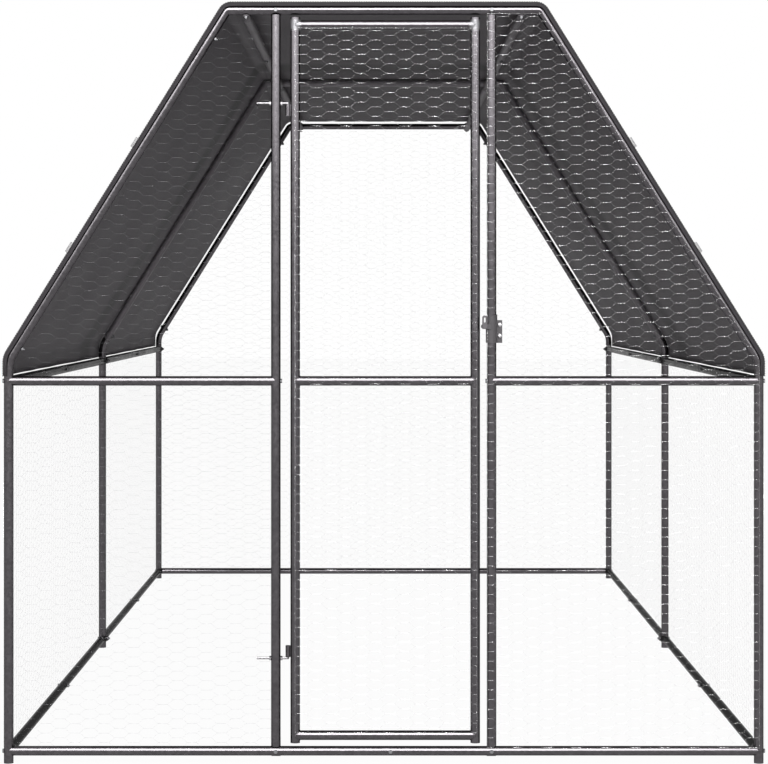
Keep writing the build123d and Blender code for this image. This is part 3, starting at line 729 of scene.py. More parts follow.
class CAGE_OT_netting(Operator):
    """Makes the six panels of hexagonal wire netting"""

    bl_idname = "cage.netting"
    bl_label = "Netting"

    def execute(self, context):
        place, sizes = context.scene.cage_frame, context.scene.cage_netting
        bright = wire_material("netting_wire", sizes.wire_colour, 0.27, sizes.slant_shade)
        # Painted shade: the left front panel's wire is a darker copy of the bright wire
        shaded_wire = wire_material("fine_netting_wire", sizes.shaded_wire_colour, 0.40, sizes.slant_shade)
        wire, eave = sizes.wire_diameter, place.eave_height
        slope = tan(rafter_angle(place))
        tree = netting_tree()

        def rafter_x(height):
            return place.post_offset - (height - eave) / slope

        def rectangle(left, low, right, high):
            return [(left, low), (right, low), (right, high), (left, high)]

        for name, side in SIDES.items():
            node = f"{name}_wall_net"
            low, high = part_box(node)
            left, right = sorted((side * low.y, side * high.y))
            outline = rectangle(left, low.z, right, high.z)
            out = ALONG_X * side
            net_panel(tree, node, outline, out, "frame", bright, sizes.wall_diameter)

        low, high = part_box("back_net")
        top = rafter_x(high.z)
        outline = [(low.x, low.z), (high.x, low.z), (high.x, eave)]
        outline += [(top, high.z), (-top, high.z), (low.x, eave)]
        net_panel(tree, "back_net", outline, ALONG_Y, "frame", bright, wire)

        low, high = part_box("front_net_right")
        high.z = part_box("front_top_tube")[0].z + sizes.top_lap
        outline = [(low.x, low.z), (high.x, low.z), (high.x, eave)]
        outline += [(rafter_x(high.z), high.z), (low.x, high.z)]
        clamp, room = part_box("latch_clamp_front"), sizes.latch_room
        keep_out = [(p.x + room * way, p.z + room * way) for p, way in zip(clamp, (-1, 1))]
        front, grid = -ALONG_Y, tuple(sizes.right_grid)
        net_panel(tree, "front_net_right", outline, front, "frame", bright, wire, keep_out, grid)

        low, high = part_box("front_net_left")
        outline = [(low.x, low.z), (high.x, low.z), (high.x, high.z)]
        outline.append((-rafter_x(high.z), high.z))
        outline.append((low.x, eave + (place.post_offset + low.x) * slope))
        net_panel(tree, "front_net_left", outline, front, "frame", shaded_wire, sizes.fine_diameter)

        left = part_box("door_net")[0].x
        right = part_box("door_stile_right")[0].x + sizes.stile_lap
        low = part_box("door_rail_bottom")[1].z - sizes.low_rail_lap
        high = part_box("door_rail_top")[0].z + sizes.top_rail_lap
        outline, grid = rectangle(left, low, right, high), tuple(sizes.door_grid)
        net_panel(tree, "door_net", outline, front, "door", bright, wire, None, grid)
        return {"FINISHED"}


def rafter_angle(place):
    rise = place.top_height - place.eave_height
    return atan2(rise, place.post_offset - place.top_half_width)


# Bolts and nuts, set where the solid ones are
def loose_parts(node):
    """The separate solids of a node, each as a list of points"""
    mesh = frame["nodes"][node].data
    names = [tuple(round(c, 6) for c in vertex.co) for vertex in mesh.vertices]
    root = {}

    def find(name):
        while root.setdefault(name, name) != name:
            name = root[name]
        return name

    for polygon in mesh.polygons:
        first = find(names[polygon.vertices[0]])
        for vertex in polygon.vertices[1:]:
            root[find(names[vertex])] = first
    groups = {}
    for name in names:
        groups.setdefault(find(name), set()).add(name)
    return [[Vector(p) for p in sorted(groups[key])] for key in sorted(groups)]


def mean_point(points):
    return sum(points, Vector()) / len(points)


def axis_span(points, axes, pick):
    """The axis along which a solid is longest or shortest, its two levels and a point at 0"""
    spans = []
    for axis in axes:
        levels = [p.dot(axis) for p in points]
        spans.append((axis, min(levels), max(levels)))
    axis, low, high = pick(spans, key=lambda span: span[2] - span[1])
    centre = mean_point(points)
    return axis, low, high, centre - axis * centre.dot(axis)


def bolt_seats(node, axes, head_height):
    """Seat, direction into the work, and length of every bolt in a node"""
    seats = []
    for points in loose_parts(node):
        axis, low, high, line = axis_span(points, axes, max)
        breadth = {}
        for level in (low, high):
            ring = [p for p in points if abs(p.dot(axis) - level) < 1e-5]
            centre = mean_point(ring)
            breadth[level] = max((p - centre).length for p in ring)
        head, way = (low, axis) if breadth[low] > breadth[high] else (high, -axis)
        seat = line + axis * head + way * head_height
        seats.append((seat, way, high - low - head_height))
    return seats


def nut_seats(node, axes):
    """Seat, axis and height of every nut in a node"""
    spans = [axis_span(points, axes, min) for points in loose_parts(node)]
    return [(line + axis * low, axis, high - low) for axis, low, high, line in spans]


def seat_mesh(name, seats):
    spots, ways, reaches = zip(*seats)
    mesh = mesh_from(name, spots, [])
    mesh.attributes.new("way", "FLOAT_VECTOR", "POINT")
    mesh.attributes.new("reach", "FLOAT", "POINT")
    mesh.attributes["way"].data.foreach_set("vector", [part for way in ways for part in way])
    mesh.attributes["reach"].data.foreach_set("value", reaches)
    return mesh


def named_value(tree, name, kind):
    return add_node(tree, "GeometryNodeInputNamedAttribute", {"data_type": kind}, Name=name)


def turned_to(tree, way):
    return add_node(tree, "FunctionNodeAlignRotationToVector", {"axis": "Z"}, Vector=way)


def scaled_vector(tree, vector, factor):
    settings = {"operation": "SCALE"}
    return add_node(tree, "ShaderNodeVectorMath", settings, Vector=vector, Scale=factor)


def cylinder(tree, sides, radius, height):
    more = {"Vertices": sides, "Radius": radius, "Depth": height}
    return add_node(tree, "GeometryNodeMeshCylinder", **more)


def hexagon_block(tree, width, height, *ends):
    """A hexagonal prism from z 0 upwards, with the corners of the named ends taken off"""
    chamfer_share, end_share = 0.16, 0.87
    chamfer = height * chamfer_share
    straight = height - chamfer * float(len(ends))
    prism = solid = cylinder(tree, 6, width / sqrt(3), straight)
    for end in ends:
        more = {"Mesh": solid, "Selection": prism.other(end), "Offset_Scale": chamfer}
        raised = add_node(tree, "GeometryNodeExtrudeMesh", {"mode": "FACES"}, **more)
        more = {"Geometry": raised, "Selection": raised.other("Top"), "Scale": end_share}
        solid = add_node(tree, "GeometryNodeScaleElements", **more)
    lift = straight * 0.5 + (chamfer if "Bottom" in ends else 0.0)
    return moved(tree, solid, xyz(tree, 0.0, 0.0, lift))


def ridged_rod(tree, diameter, reach, pitch):
    """A rod along z with the ridges of a thread"""
    groove = 0.13  # depth of the thread in radii
    line = curve_line(tree, xyz(tree), xyz(tree, 0.0, 0.0, reach))
    line = resampled(tree, line, (reach / pitch) * 2.0)
    radius = 1.0 - (add_node(tree, "GeometryNodeInputIndex") % 2.0) * groove
    line = add_node(tree, "GeometryNodeSetCurveRadius", Curve=line, Radius=radius)
    profile = curve_ring(tree, 10, diameter * 0.5)
    return swept(tree, line, profile, Fill_Caps=True, Scale=radius)


def bolt_tree():
    floats = "head_width head_height shank_diameter thread_length thread_pitch"
    tree, at = geometry_tree("hexagon_bolts", floats)
    way = named_value(tree, "way", "FLOAT_VECTOR")
    reach = named_value(tree, "reach", "FLOAT")
    inward, outward = turned_to(tree, way), turned_to(tree, scaled_vector(tree, way, -1.0))
    head = hexagon_block(tree, at.head_width, at.head_height, "Top")
    heads = on_points(tree, at.geometry, head, Rotation=outward)
    shank = cylinder(tree, 14, at.shank_diameter * 0.5, 1.0)
    shank = moved(tree, shank, (0.0, 0.0, 0.5))
    plain, overlap = reach - at.thread_length, 0.0004
    stretch = xyz(tree, 1.0, 1.0, plain + overlap)
    shanks = on_points(tree, at.geometry, shank, Rotation=inward, Scale=stretch)
    thread = ridged_rod(tree, at.shank_diameter, at.thread_length, at.thread_pitch)
    ends = moved(tree, at.geometry, scaled_vector(tree, way, plain))
    threads = on_points(tree, ends, thread, Rotation=inward)
    return end_tree(tree, joined(tree, heads, shanks, threads), at.material)


def seated_tree(tree, at, thing):
    """Ends a node group with one thing on every seat, turned along the seat's way"""
    way = turned_to(tree, named_value(tree, "way", "FLOAT_VECTOR"))
    return end_tree(tree, on_points(tree, at.geometry, thing, Rotation=way), at.material)


def nut_tree():
    tree, at = geometry_tree("hexagon_nuts", "head_width nut_height")
    nut = hexagon_block(tree, at.head_width, at.nut_height, "Top", "Bottom")
    return seated_tree(tree, at, nut)


def thread_tree():
    tree, at = geometry_tree("threaded_rods", "diameter rod_reach thread_pitch")
    return seated_tree(tree, at, ridged_rod(tree, at.diameter, at.rod_reach, at.thread_pitch))


def pintle_rods():
    """Free end, radius and whole length of the straight rod of each hinge pintle"""
    rods = []
    for node, rod_at_top in (("hinge_pintle_upper", True), ("hinge_pintle_lower", False)):
        low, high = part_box(node)
        radius = (high.y - low.y) / 2
        height = high.z - radius if rod_at_top else low.z + radius
        rods.append((Vector((low.x, middle(node, 1), height)), radius, high.x - low.x))
    return rods


class CAGE_OT_fasteners(Operator):
    """Makes the hexagon bolts and nuts, and the threads of the hinge rods"""

    bl_idname = "cage.fasteners"
    bl_label = "Bolts and nuts"

    def execute(self, context):
        sizes = context.scene.cage_fasteners
        slope = rafter_angle(context.scene.cage_frame)
        leaning = [Vector((side * sin(slope), 0, cos(slope))) for side in SIDES.values()]
        axes = [ALONG_X, ALONG_Y, ALONG_Z, *leaning]

        def add_fasteners(name, seats, tree, finish, replaced, **own):
            material = bpy.data.materials[finish]
            start = seat_mesh(f"{name}_seats", seats)
            mesh = grown_mesh(name, start, tree, sizes, material=material, **own)
            new_piece(name, mesh, material, "frame", replaced)

        seats = bolt_seats("frame_bolts", axes, sizes.solid_head)
        add_fasteners("hexagon_bolts", seats, bolt_tree(), "zinc_plate", "frame_bolts")

        rods, nuts = pintle_rods(), {True: [], False: []}
        for seat in nut_seats("frame_nuts", axes):
            spot = seat[0]
            offsets = [(hypot(spot.y - end.y, spot.z - end.z), radius) for end, radius, run in rods]
            nuts[any(offset < radius for offset, radius in offsets)].append(seat)
        tree = nut_tree()
        add_fasteners("hexagon_nuts", nuts[False], tree, "zinc_plate", "frame_nuts")
        add_fasteners("hinge_nuts", nuts[True], tree, "white_zinc", "frame_nuts")

        radius, run = rods[0][1:]
        seats = [(end + ALONG_X * sizes.ridge_height, ALONG_X, run) for end, *rest in rods]
        own = {"diameter": 2 * (radius + sizes.ridge_height), "rod_reach": run - 4 * radius}
        add_fasteners("hinge_threads", seats, thread_tree(), "bright_pins", None, **own)
        return {"FINISHED"}


class CAGE_OT_tubes(Operator):
    """Gives the tubes, hinges and latch their finishes"""

    bl_idname = "cage.tubes"
    bl_label = "Tubes, hinges and latch"

    def execute(self, context):
        look = context.scene.cage_tubes
        top, welds = middle("door_rail_top", 2), weld_places(context.scene.cage_frame)
        spots = [spot for spot, way in welds if abs(spot.z - top) < look.spray_reach]
        large, steel, small = look.spangle_size, look.steel_spangle, look.small_spangle
        galvanised = (look.tube_colour, look.tube_pale, look.tube_roughness, large, 0.9)
        tube = zinc_material("galvanised_tube", *galvanised)
        spray = (spots, look.spray_reach, look.spray_colour)
        door_tube = zinc_material("door_tube", *galvanised, spray)

        def finish(name, tint, lift, roughness, spangle, metallic=0.9):
            return zinc_material(name, tint, scaled(tint, lift), roughness, spangle, metallic)

        zinc = finish("zinc_plate", look.zinc_colour, 1.35, 0.48, small)
        finish("white_zinc", look.nut_colour, 1.15, 0.30, small)
        # Painted light: a paler, matt copy of the tube finish for the middle arch's upper tubes,
        # against the cloth's shade
        dull = finish("dull_tube", look.dull_colour, 1.4, 0.62, large, 0.3)
        # Painted shade: the purlins take a darker share of that colour
        shade = scaled(look.dull_colour, look.purlin_share)
        own = {
            "hinge_pintle": finish("bright_pins", look.pin_colour, 1.25, 0.20, small),
            "hinge_sleeves": tube,
            "latch_bolts": finish("round_heads", look.head_colour, 1.1, 0.36, small),
            "latch_clamp": finish("clamp_steel", look.clamp_colour, 1.3, 0.68, steel, 0.25),
            "latch_fork": finish("fork_steel", look.fork_colour, 1.3, 0.45, steel, 0.6),
            "_purlin_": finish("purlin_tube", shade, 1.4, 0.62, large, 0.3),
            "mid_left_rafter": dull,
            "mid_right_rafter": dull,
            "mid_elbows": dull,
            "mid_top_tube": dull,
            "door_stile": door_tube,
            "door_rail": door_tube,
        }
        finishes = {"galvanised_tube": tube, "zinc_hardware": zinc}
        for row in frame["record"]["subparts"]:
            node, finish = row["node"], finishes.get(row["material_slot"])
            finish = next((own[key] for key in own if key in node), finish)
            if finish:
                mesh = frame["nodes"][node].data
                mesh.materials.clear()
                mesh.materials.append(finish)
        return {"FINISHED"}


# Welds on the door
def weld_places(place):
    """Where each end of the door's rails meets a stile, and the way the rail leaves it"""
    places = []
    for stile, way in (("door_stile_left", 1), ("door_stile_right", -1)):
        for rail in ("door_rail_top", "door_rail_mid", "door_rail_bottom"):
            places.append((Vector((middle(stile, 0), place.front_plane, middle(rail, 2))), way))
    return places


def bead_on_saddle(points, centre, way, radius, bead):
    """Adds a weld bead round a tube that butts on an upright tube of the same size"""
    steps, sides, waves, ripple, flatness = 72, 6, 34, 0.09, 0.7
    faces = ring_faces(len(points), steps, sides, True)

    def saddle(turn):
        y, z = radius * cos(turn), radius * sin(turn)
        return Vector((way * sqrt(max(0.0, radius * radius - y * y)), y, z))

    for turn in around(steps):
        spot = saddle(turn)
        normal = (Vector((spot.x, spot.y, 0)) + Vector((0, spot.y, spot.z))).normalized()
        along = (saddle(turn + 2 * pi / steps) - spot).normalized()
        across = along.cross(normal).normalized()
        size = bead * (0.5 + ripple * sin(waves * turn))
        for angle in around(sides):
            arm = across * (size * cos(angle)) + normal * (size * flatness * sin(angle))
            points.append(centre + spot + arm)
    return faces


class CAGE_OT_welds(Operator):
    """Makes the weld beads where the door's rails meet its stiles"""

    bl_idname = "cage.welds"
    bl_label = "Door welds"

    def execute(self, context):
        place, look = context.scene.cage_frame, context.scene.cage_tubes
        points, faces, clear = [], [], 0.0002
        radius = place.tube_diameter / 2 + clear
        for centre, way in weld_places(place):
            faces += bead_on_saddle(points, centre, way, radius, look.weld_width)
        mesh = mesh_from("door_welds", points, faces)
        face_outwards(mesh)
        material = bpy.data.materials["door_tube"]
        new_piece("door_welds", mesh, material, "door")
        return {"FINISHED"}


# Roof cover
def half_profile(place, sizes):
    """Half of the cover's line over an arch, from the hem up to the middle: (x, z, girth)"""
    steps, pitch = 8, 0.026
    angle = rafter_angle(place)
    slope, radius = tan(angle), place.tube_diameter / 2
    skirt_x = place.post_offset + radius + sizes.skirt_gap
    rise = place.eave_height + (radius + sizes.gap) / cos(angle)
    top_z = place.top_height + radius + sizes.top_gap
    hem = Vector((skirt_x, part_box("roof_cover")[0].z))
    eave = Vector((skirt_x, rise - (skirt_x - place.post_offset) * slope))
    corner = Vector((place.post_offset - (top_z - rise) / slope, top_z))
    crown = Vector((0.0, top_z))
    line = [hem]

    def straight_to(end):
        start = line[-1]
        count = max(1, ceil((end - start).length / pitch))
        line.extend(start + (end - start) * (k / count) for k in range(1, count + 1))

    bends = ((hem, eave, corner, sizes.eave_radius), (eave, corner, crown, sizes.corner_radius))
    for before, here, after, radius in bends:
        into, out = (here - before).normalized(), (after - here).normalized()
        bend = into.angle(out)
        start = here - into * (radius * tan(bend / 2))
        straight_to(start)
        centre = start + Vector((-into.y, into.x)) * radius
        for k in range(1, steps + 1):
            arm = (start - centre).to_3d()
            arm.rotate(Matrix.Rotation(bend * k / steps, 3, "Z"))
            line.append(centre + arm.to_2d())
    straight_to(crown)
    girths = [0.0]
    for before, here in zip(line, line[1:]):
        girths.append(girths[-1] + (here - before).length)
    return [(p.x, p.y, g) for p, g in zip(line, girths)]


def cover_stations(place, sizes):
    """Flat places along the cover where its mesh has a row of points"""
    count, edge_count = 184, 8
    start, end = place.front_plane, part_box("roof_cover")[1].y
    edge = sizes.wrap_radius * sizes.wrap_angle
    stations = [start - edge * (1 - k / edge_count) for k in range(edge_count)]
    return stations + [start + (end - start) * k / count for k in range(count + 1)]


def front_turn(place, sizes, flat):
    """How far the front edge has turned round the front arch at a flat place"""
    return max(0.0, place.front_plane - flat) / sizes.wrap_radius


def heads_below(place, profile):
    """Girths at which bolt heads of the middle arch lie under the cover"""
    heads = []
    for centre in map(mean_point, loose_parts("frame_bolts")):
        if abs(centre.y) < place.tube_diameter and centre.x > 0:
            spot = Vector((centre.x, centre.z))
            nearest = min(profile, key=lambda p: (Vector(p[:2]) - spot).length)
            heads.append(profile[-1][2] - nearest[2])
    return heads


def cloth_lift(place, sizes, y, down, marks):
    """How far the cloth stands off its tight line, or with a minus sign lies closer"""
    part = min(1.0, max(-1.0, y / place.back_plane))
    lift = sizes.front_lift * max(0.0, -part) ** 2 + sizes.back_lift * max(0.0, part) ** 3
    press = sizes.mid_press
    for head in marks.heads:
        press *= 1 - exp(-((hypot(down - head, y) / sizes.head_reach) ** 4))
    if down < marks.crown:
        press += sizes.top_gap - sizes.gap
    slack = (marks.eave - down) / (0.2 * (marks.eave - marks.crown))
    return lift - press * min(1.0, max(0.0, slack)) * exp(-((y / sizes.mid_reach) ** 2))


def cloth_sink(place, sizes, g, y, marks):
    """How far the cloth sinks towards the inside at one point; the loose skirt stands out"""
    bay, down, crown, eave = place.back_plane, abs(g), marks.crown, marks.eave
    lift = cloth_lift(place, sizes, y, down, marks)
    if abs(y) >= bay:
        return -lift
    between = sin(pi * abs(y) / bay) ** 0.8
    if down < crown:
        panel = 0.25 + 0.30 * cos(pi / 2 * down / crown)
    else:
        part = min(1.0, (down - crown) / (eave - crown))
        panel = 0.25 * (1 - part) + 0.80 * sin(pi * part) ** 0.9
    broad = wander(Vector((g * 2.1 + 3.0, y * 1.3, 0.5)))
    fine = wander(Vector((g * 7.0, y * 3.1 + g * 2.0, 4.5)))
    folds = sizes.folds * (broad + 0.35 * fine)
    sink = between * (sizes.sag * panel + folds * min(1.0, 2.2 * panel))
    if down > eave:
        loose = ((down - eave) / (marks.total - eave)) ** 1.4
        wave = 0.5 + 0.5 * sin(y * 15.0 + 1.6 * sin(y * 4.0) + (2.0 if g > 0 else 0.0))
        sink -= sizes.skirt_wave * loose * between * wave
    return sink - lift


def cover_shape(place, sizes):
    """Gives the cover's rows of points at any offset, and the girth of each column"""
    half = half_profile(place, sizes)
    total = half[-1][2]
    profile = [(x, z, g - total) for x, z, g in half]
    profile += [(-x, z, total - g) for x, z, g in reversed(half[:-1])]
    line = [Vector((x, z)) for x, z, g in profile]
    ways = [along_line(line, k) for k in range(len(line))]
    normals = [Vector((way.y, -way.x)) for way in ways]
    girths = [g for x, z, g in profile]
    short = 0.01  # the flat top ends before the corner's bend
    marks = SimpleNamespace(total=total, crown=place.top_half_width - short)
    marks.eave = total - (place.eave_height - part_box("roof_cover")[0].z)
    marks.heads = heads_below(place, half)

    def surface(offset):
        rows = []
        for flat in cover_stations(place, sizes):
            turn = front_turn(place, sizes, flat)
            y = max(flat, place.front_plane)
            ahead = y - (sizes.wrap_radius + offset) * sin(turn)
            row = []
            for spot, g, normal in zip(line, girths, normals):
                sink = cloth_sink(place, sizes, g, y, marks) + sizes.wrap_radius * (1 - cos(turn))
                spot = spot + normal * (offset * cos(turn) - sink)
                row.append(Vector((spot.x, ahead, spot.y)))
            rows.append(row)
        return rows

    return surface, girths, total


def sheet_mesh(name, rows, girths, places):
    """A grid of points as a mesh, with its flat sizes in metres as UV"""
    width = len(girths)
    starts = [j * width + i for j in range(len(rows) - 1) for i in range(width - 1)]
    faces = [(a, a + 1, a + width + 1, a + width) for a in starts]
    uvs = [(girth, place) for place in places for girth in girths]
    return mesh_from(name, [p for row in rows for p in row], faces, uvs)


def stitch_tree():
    tree, at = geometry_tree("stitch_rows", "stitch_length stitch_pitch stitch_diameter")
    curve = add_node(tree, "GeometryNodeMeshToCurve", Mesh=at.geometry)
    spacing = {"Curve": curve, "Length": at.stitch_pitch}
    points = add_node(tree, "GeometryNodeCurveToPoints", {"mode": "LENGTH"}, **spacing)
    radius = at.stitch_diameter * 0.5
    grain = add_node(tree, "GeometryNodeMeshUVSphere", Segments=6, Rings=4, Radius=radius)
    stretch = xyz(tree, 1.0, 1.0, at.stitch_length / at.stitch_diameter)
    turned = points.other("Rotation")
    stitches = on_points(tree, points, grain, Rotation=turned, Scale=stretch)
    return end_tree(tree, stitches, at.material)


def line_mesh(name, lines):
    points, edges = [], []
    for line in lines:
        first = len(points)
        points += line
        edges += [(first + k, first + k + 1) for k in range(len(line) - 1)]
    return mesh_from(name, points, [], None, edges)


def bracket(places, place):
    """The step of a rising list that holds a place, and the part of that step before it"""
    k = next(k for k in range(len(places) - 1) if places[k] <= place <= places[k + 1])
    return k, (place - places[k]) / (places[k + 1] - places[k])


def between_rows(rows, places, y):
    """The row of surface points at a place along the cage"""
    k, part = bracket(places, y)
    return [a.lerp(b, part) for a, b in zip(rows[k], rows[k + 1])]


def at_girth(row, girths, girth):
    k, part = bracket(girths, girth)
    return row[k].lerp(row[k + 1], part)


def rolled_edge(name, line, girths, radius):
    """A round roll along a row of the cover, with its flat sizes in metres as UV"""
    sides = 10
    points, uvs = [], []
    for k, spot in enumerate(line):
        out = ALONG_Y.cross(along_line(line, k))
        for s, turn in enumerate(around(sides)):
            points.append(spot + (out * cos(turn) + ALONG_Y * sin(turn)) * radius)
            uvs.append((girths[k], min(s, sides - s) * 2 * pi * radius / sides))
    return mesh_from(name, points, ring_faces(0, len(line), sides), uvs)


class CAGE_OT_cover(Operator):
    """Makes the roof cover with its hems and stitching"""

    bl_idname = "cage.cover"
    bl_label = "Roof cover"

    def execute(self, context):
        place, sizes = context.scene.cage_frame, context.scene.cage_cover
        cloth = cloth_material("cover_cloth", sizes)
        thread = thread_material("sewing_thread", sizes.thread_colour)
        surface, girths, total = cover_shape(place, sizes)
        places = cover_stations(place, sizes)
        low, high = places[0], places[-1]

        def sewn(name, rows, columns, stations, thickness, replaced=None):
            mesh = sheet_mesh(name, rows, columns, stations)
            piece = new_piece(name, mesh, cloth, "frame", replaced)
            modifier = piece.modifiers.new("thickness", "SOLIDIFY")
            modifier.thickness, modifier.offset = thickness, 1.0
            return piece

        sheet = sewn("cover_sheet", surface(0.0), girths, places, sizes.thickness, "roof_cover")
        hem_rows = surface(sizes.thickness + sizes.layer_gap)
        width, inset, seam = sizes.hem_width, sizes.hem_inset, sizes.seam_width / 2
        bands = {
            "cover_hem_front": (low + inset, low + width),
            "cover_hem_back": (high - width, high - inset),
            "cover_seam": (-seam, seam),
        }
        for name, (start, end) in bands.items():
            steps = [start + (end - start) * k / 12 for k in range(13)]
            band = [between_rows(hem_rows, places, y) for y in steps]
            sewn(name, band, girths, steps, sizes.hem_thickness)
        within = 0.99999  # keeps a hem's edge on the cloth
        for name, side in SIDES.items():
            levels = sorted(-side * (total - width * k / 3) * within for k in range(4))
            band = [[at_girth(row, girths, g) for g in levels] for row in hem_rows[1:-1]]
            name = f"cover_hem_{name}"
            sewn(name, band, levels, places[1:-1], sizes.hem_thickness)

        rows = surface(sizes.thickness - sizes.roll_radius)
        line = between_rows(rows, places, low + sizes.roll_radius)
        mesh = rolled_edge("cover_roll", line, girths, sizes.roll_radius)
        new_piece("cover_roll", mesh, cloth, "frame")

        rows = surface(sizes.thickness + sizes.hem_thickness + sizes.layer_gap)
        inner = width - sizes.stitch_inset
        outer, edge = inner - sizes.stitch_rows, seam - sizes.seam_inset
        stations = (low + inner, low + outer, high - inner, high - outer, -edge, edge)
        lines = [between_rows(rows, places, y) for y in stations]
        for side in SIDES.values():
            for g in (total - inner, total - outer):
                lines.append([at_girth(row, girths, -side * g) for row in rows])
        start = line_mesh("stitch_lines", lines)
        mesh = grown_mesh("cover_stitches", start, stitch_tree(), sizes, material=thread)
        new_piece("cover_stitches", mesh, thread, "frame")
        supports = [f"{arch}_{side}_rafter" for arch in ARCHES for side in SIDES]
        supports += [f"{arch}_top_tube" for arch in ARCHES]
        return {"FINISHED"}


# Webbing loops
def loop_path(place, cover, ties, y):
    """A loop's line over the cover, as points of (along the cage, outward)"""
    rise_steps, foot_steps = 14, 4
    tight = place.tube_diameter / 2 + cover.gap + cover.thickness + cover.hem_thickness
    sewn = tight + ties.thickness + (cover.front_lift if y < 0 else cover.back_lift)
    path = []
    for turn in (pi * k / rise_steps for k in range(rise_steps + 1)):
        path.append((-ties.span / 2 * cos(turn), ties.loop * sin(turn) ** 0.55))
    for k in range(1, foot_steps + 1):
        path.append((ties.span / 2 + ties.foot * k / foot_steps, 0.0))
    line = []
    for along, rise in path:
        turn = front_turn(place, cover, y + along)
        radius = cover.wrap_radius + rise
        out = sewn - cover.wrap_radius + radius * cos(turn)
        line.append(Vector((-radius * sin(turn) if turn else along, out)))
    return line


def strap_mesh(name, loops, width, thickness):
    """Bands of webbing: each is (middle, outward, upward, path)"""
    points, faces, uvs = [], [], []
    half, edge = thickness / 2, width / 2
    flat = edge - half
    corners = [(-flat, half), (flat, half), (edge, 0.0)]
    corners += [(flat, -half), (-flat, -half), (-edge, 0.0)]
    for centre, outward, upward, path in loops:
        faces += ring_faces(len(points), len(path), len(corners))
        travelled = 0.0
        for i, here in enumerate(path):
            way = along_line(path, i)
            travelled += (here - path[max(0, i - 1)]).length
            for across, lift in corners:
                spot = here + Vector((-way.y, way.x)) * lift
                points.append(centre + ALONG_Y * spot.x + outward * spot.y + upward * across)
                uvs.append((across, travelled))
    mesh = mesh_from(name, points, faces, uvs)
    face_outwards(mesh)
    return mesh


class CAGE_OT_ties(Operator):
    """Makes the webbing loops on the cover over the end rafters"""

    bl_idname = "cage.ties"
    bl_label = "Cover loops"

    def execute(self, context):
        scene = context.scene
        place, cover, ties = scene.cage_frame, scene.cage_cover, scene.cage_ties
        angle = rafter_angle(place)
        run = hypot(place.post_offset - place.top_half_width, place.top_height - place.eave_height)
        loops = []
        for y in (place.front_plane, place.back_plane):
            path = loop_path(place, cover, ties, y)
            for side in SIDES.values():
                outward = Vector((side * sin(angle), 0, cos(angle)))
                upward = Vector((-side * cos(angle), 0, sin(angle)))
                corner = Vector((side * place.top_half_width, y, place.top_height))
                for part in (ties.first_place, ties.second_place):
                    loops.append((corner - upward * (run * part), outward, upward, path))
        webbing = webbing_material("grey_webbing", ties.webbing_colour)
        mesh = strap_mesh("webbing_loops", loops, ties.width, ties.thickness)
        new_piece("webbing_loops", mesh, webbing, "frame", "cover_ties")
        return {"FINISHED"}


# Stage
def seen_ray(tree):
    """1 for what the camera sees, directly, in metal or through glass"""
    path = add_node(tree, "ShaderNodeLightPath", output="Is Camera Ray")
    return path.most(path.other("Is Glossy Ray")).most(path.other("Is Transmission Ray"))


def floor_material(look):
    material, tree = new_material("pale_floor")
    cloud = noise(tree, surface_place(tree), 0.6)
    dull = scaled(look.floor_colour, 0.96)
    tint = mix_colours(tree, cloud * 0.06 + 0.47, dull, look.floor_colour)
    matt = add_node(tree, "ShaderNodeBsdfDiffuse", Color=tint)
    glow = add_node(tree, "ShaderNodeEmission", Color=WHITE, Strength=1.0)
    inputs = {0: seen_ray(tree) * look.floor_glow, 1: matt, 2: glow}
    mixed = add_node(tree, "ShaderNodeMixShader", None, inputs)
    add_node(tree, "ShaderNodeOutputMaterial", Surface=mixed)
    return material


def studio_world(look):
    world = bpy.data.worlds.new("soft_studio")
    bpy.context.scene.world = world
    world.use_nodes = True
    tree = world.node_tree
    tree.nodes.clear()
    strength = look.surround + seen_ray(tree) * (1.0 - look.surround)
    back = add_node(tree, "ShaderNodeBackground", Color=WHITE, Strength=strength)
    add_node(tree, "ShaderNodeOutputWorld", Surface=back)


def add_lamp(name, place, target, size, power, only_shine=True):
    """A square lamp; one that only shines is a reflector, which shows in metal alone"""
    lamp = bpy.data.lights.new(name, "AREA")
    lamp.shape = "RECTANGLE"
    lamp.size, lamp.size_y = size
    lamp.energy = power
    holder = add_object(name, lamp)
    holder.location = place
    holder.rotation_euler = (Vector(target) - Vector(place)).to_track_quat("-Z", "Y").to_euler()
    holder.visible_camera = False
    holder.visible_diffuse = not only_shine


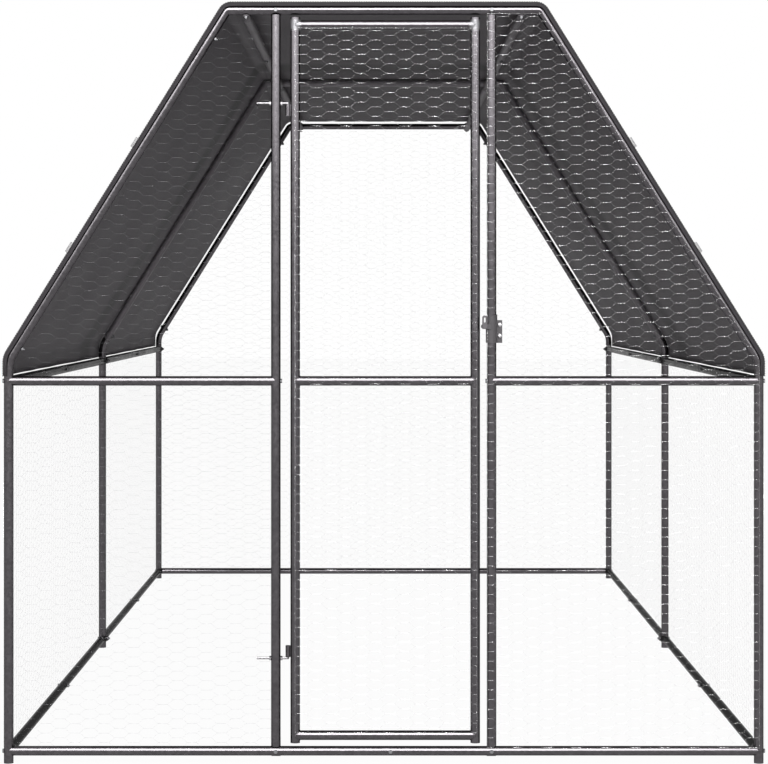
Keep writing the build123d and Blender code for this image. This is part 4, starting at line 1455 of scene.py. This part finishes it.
class CAGE_OT_stage(Operator):
    """Sets up the floor, the lamps and the camera"""

    bl_idname = "cage.stage"
    bl_label = "Stage"

    def execute(self, context):
        scene, look = context.scene, context.scene.cage_stage
        front, reach, below = scene.cage_frame.front_plane, 40.0, -0.0005
        corners = [(-reach, -reach), (reach, -reach), (reach, reach), (-reach, reach)]
        mesh = mesh_from("floor", [(x, y, below) for x, y in corners], [(0, 1, 2, 3)])
        mesh.materials.append(floor_material(look))
        add_object("floor", mesh)
        studio_world(look)
        aim = (0, front, 1.0)
        add_lamp("front_lamp", (-0.3, -9.2, 5.4), aim, (5.2, 4.8), look.key_power, False)
        add_lamp("front_reflector", (-0.3, -8.8, 5.7), aim, (5.4, 4.4), look.shine_power)
        for name, side in SIDES.items():
            spot, aim = (side * 4.7, -8.4, 4.2), (side * 0.65, front, 1.6)
            add_lamp(f"{name}_reflector", spot, aim, (3.4, 1.8), look.side_power)
        for name, turn in (("left", -58), ("front", 0), ("right", 58)):
            way = Vector((sin(radians(turn)), -cos(radians(turn)), 0))
            spot, aim = Vector((0, front, 3.1)) + way * 9.5, (0, front, 1.6)
            add_lamp(f"{name}_low_panel", spot, aim, (11.0, 1.3), look.fill_power)

        camera = bpy.data.cameras.new("camera")
        camera.sensor_fit = "HORIZONTAL"
        camera.sensor_width = 36.0
        camera.lens = look.focal_pixels / look.image_width * camera.sensor_width
        camera.shift_x = (look.image_width / 2 - look.centre_x) / look.image_width
        camera.shift_y = (look.horizon_y - look.image_height / 2) / look.image_width
        camera.clip_end = 200.0
        scene.camera = add_object("camera", camera)
        scene.camera.location = (0, front - look.camera_distance, look.camera_height)
        scene.camera.rotation_euler = (pi / 2, 0, 0)
        scene.view_settings.view_transform = "Standard"
        return {"FINISHED"}


class CAGE_PT_sidebar(Panel):
    """Lists the steps that dress the cage"""

    bl_idname = "CAGE_PT_sidebar"
    bl_label = "Chicken cage"
    bl_space_type = "VIEW_3D"
    bl_region_type = "UI"
    bl_category = "Chicken cage"

    def draw(self, context):
        for step in STEPS:
            self.layout.operator(step.bl_idname)


STEPS = (
    CAGE_OT_tubes,
    CAGE_OT_fasteners,
    CAGE_OT_welds,
    CAGE_OT_netting,
    CAGE_OT_cover,
    CAGE_OT_ties,
    CAGE_OT_stage,
)
GROUPS = {
    "cage_frame": CageFrame,
    "cage_netting": CageNetting,
    "cage_tubes": CageTubes,
    "cage_fasteners": CageFasteners,
    "cage_cover": CageCover,
    "cage_ties": CageTies,
    "cage_stage": CageStage,
}


def register():
    for kind in (*GROUPS.values(), *STEPS, CAGE_PT_sidebar):
        bpy.utils.register_class(kind)
    for name, kind in GROUPS.items():
        setattr(bpy.types.Scene, name, PointerProperty(type=kind))


def unregister():
    for name in GROUPS:
        delattr(bpy.types.Scene, name)
    for kind in reversed((*GROUPS.values(), *STEPS, CAGE_PT_sidebar)):
        bpy.utils.unregister_class(kind)


def main():
    register()
    bpy.ops.cage.tubes()
    bpy.ops.cage.fasteners()
    bpy.ops.cage.welds()
    bpy.ops.cage.netting()
    bpy.ops.cage.cover()
    bpy.ops.cage.ties()
    bpy.ops.cage.stage()


if __name__ == "__main__":
    main()
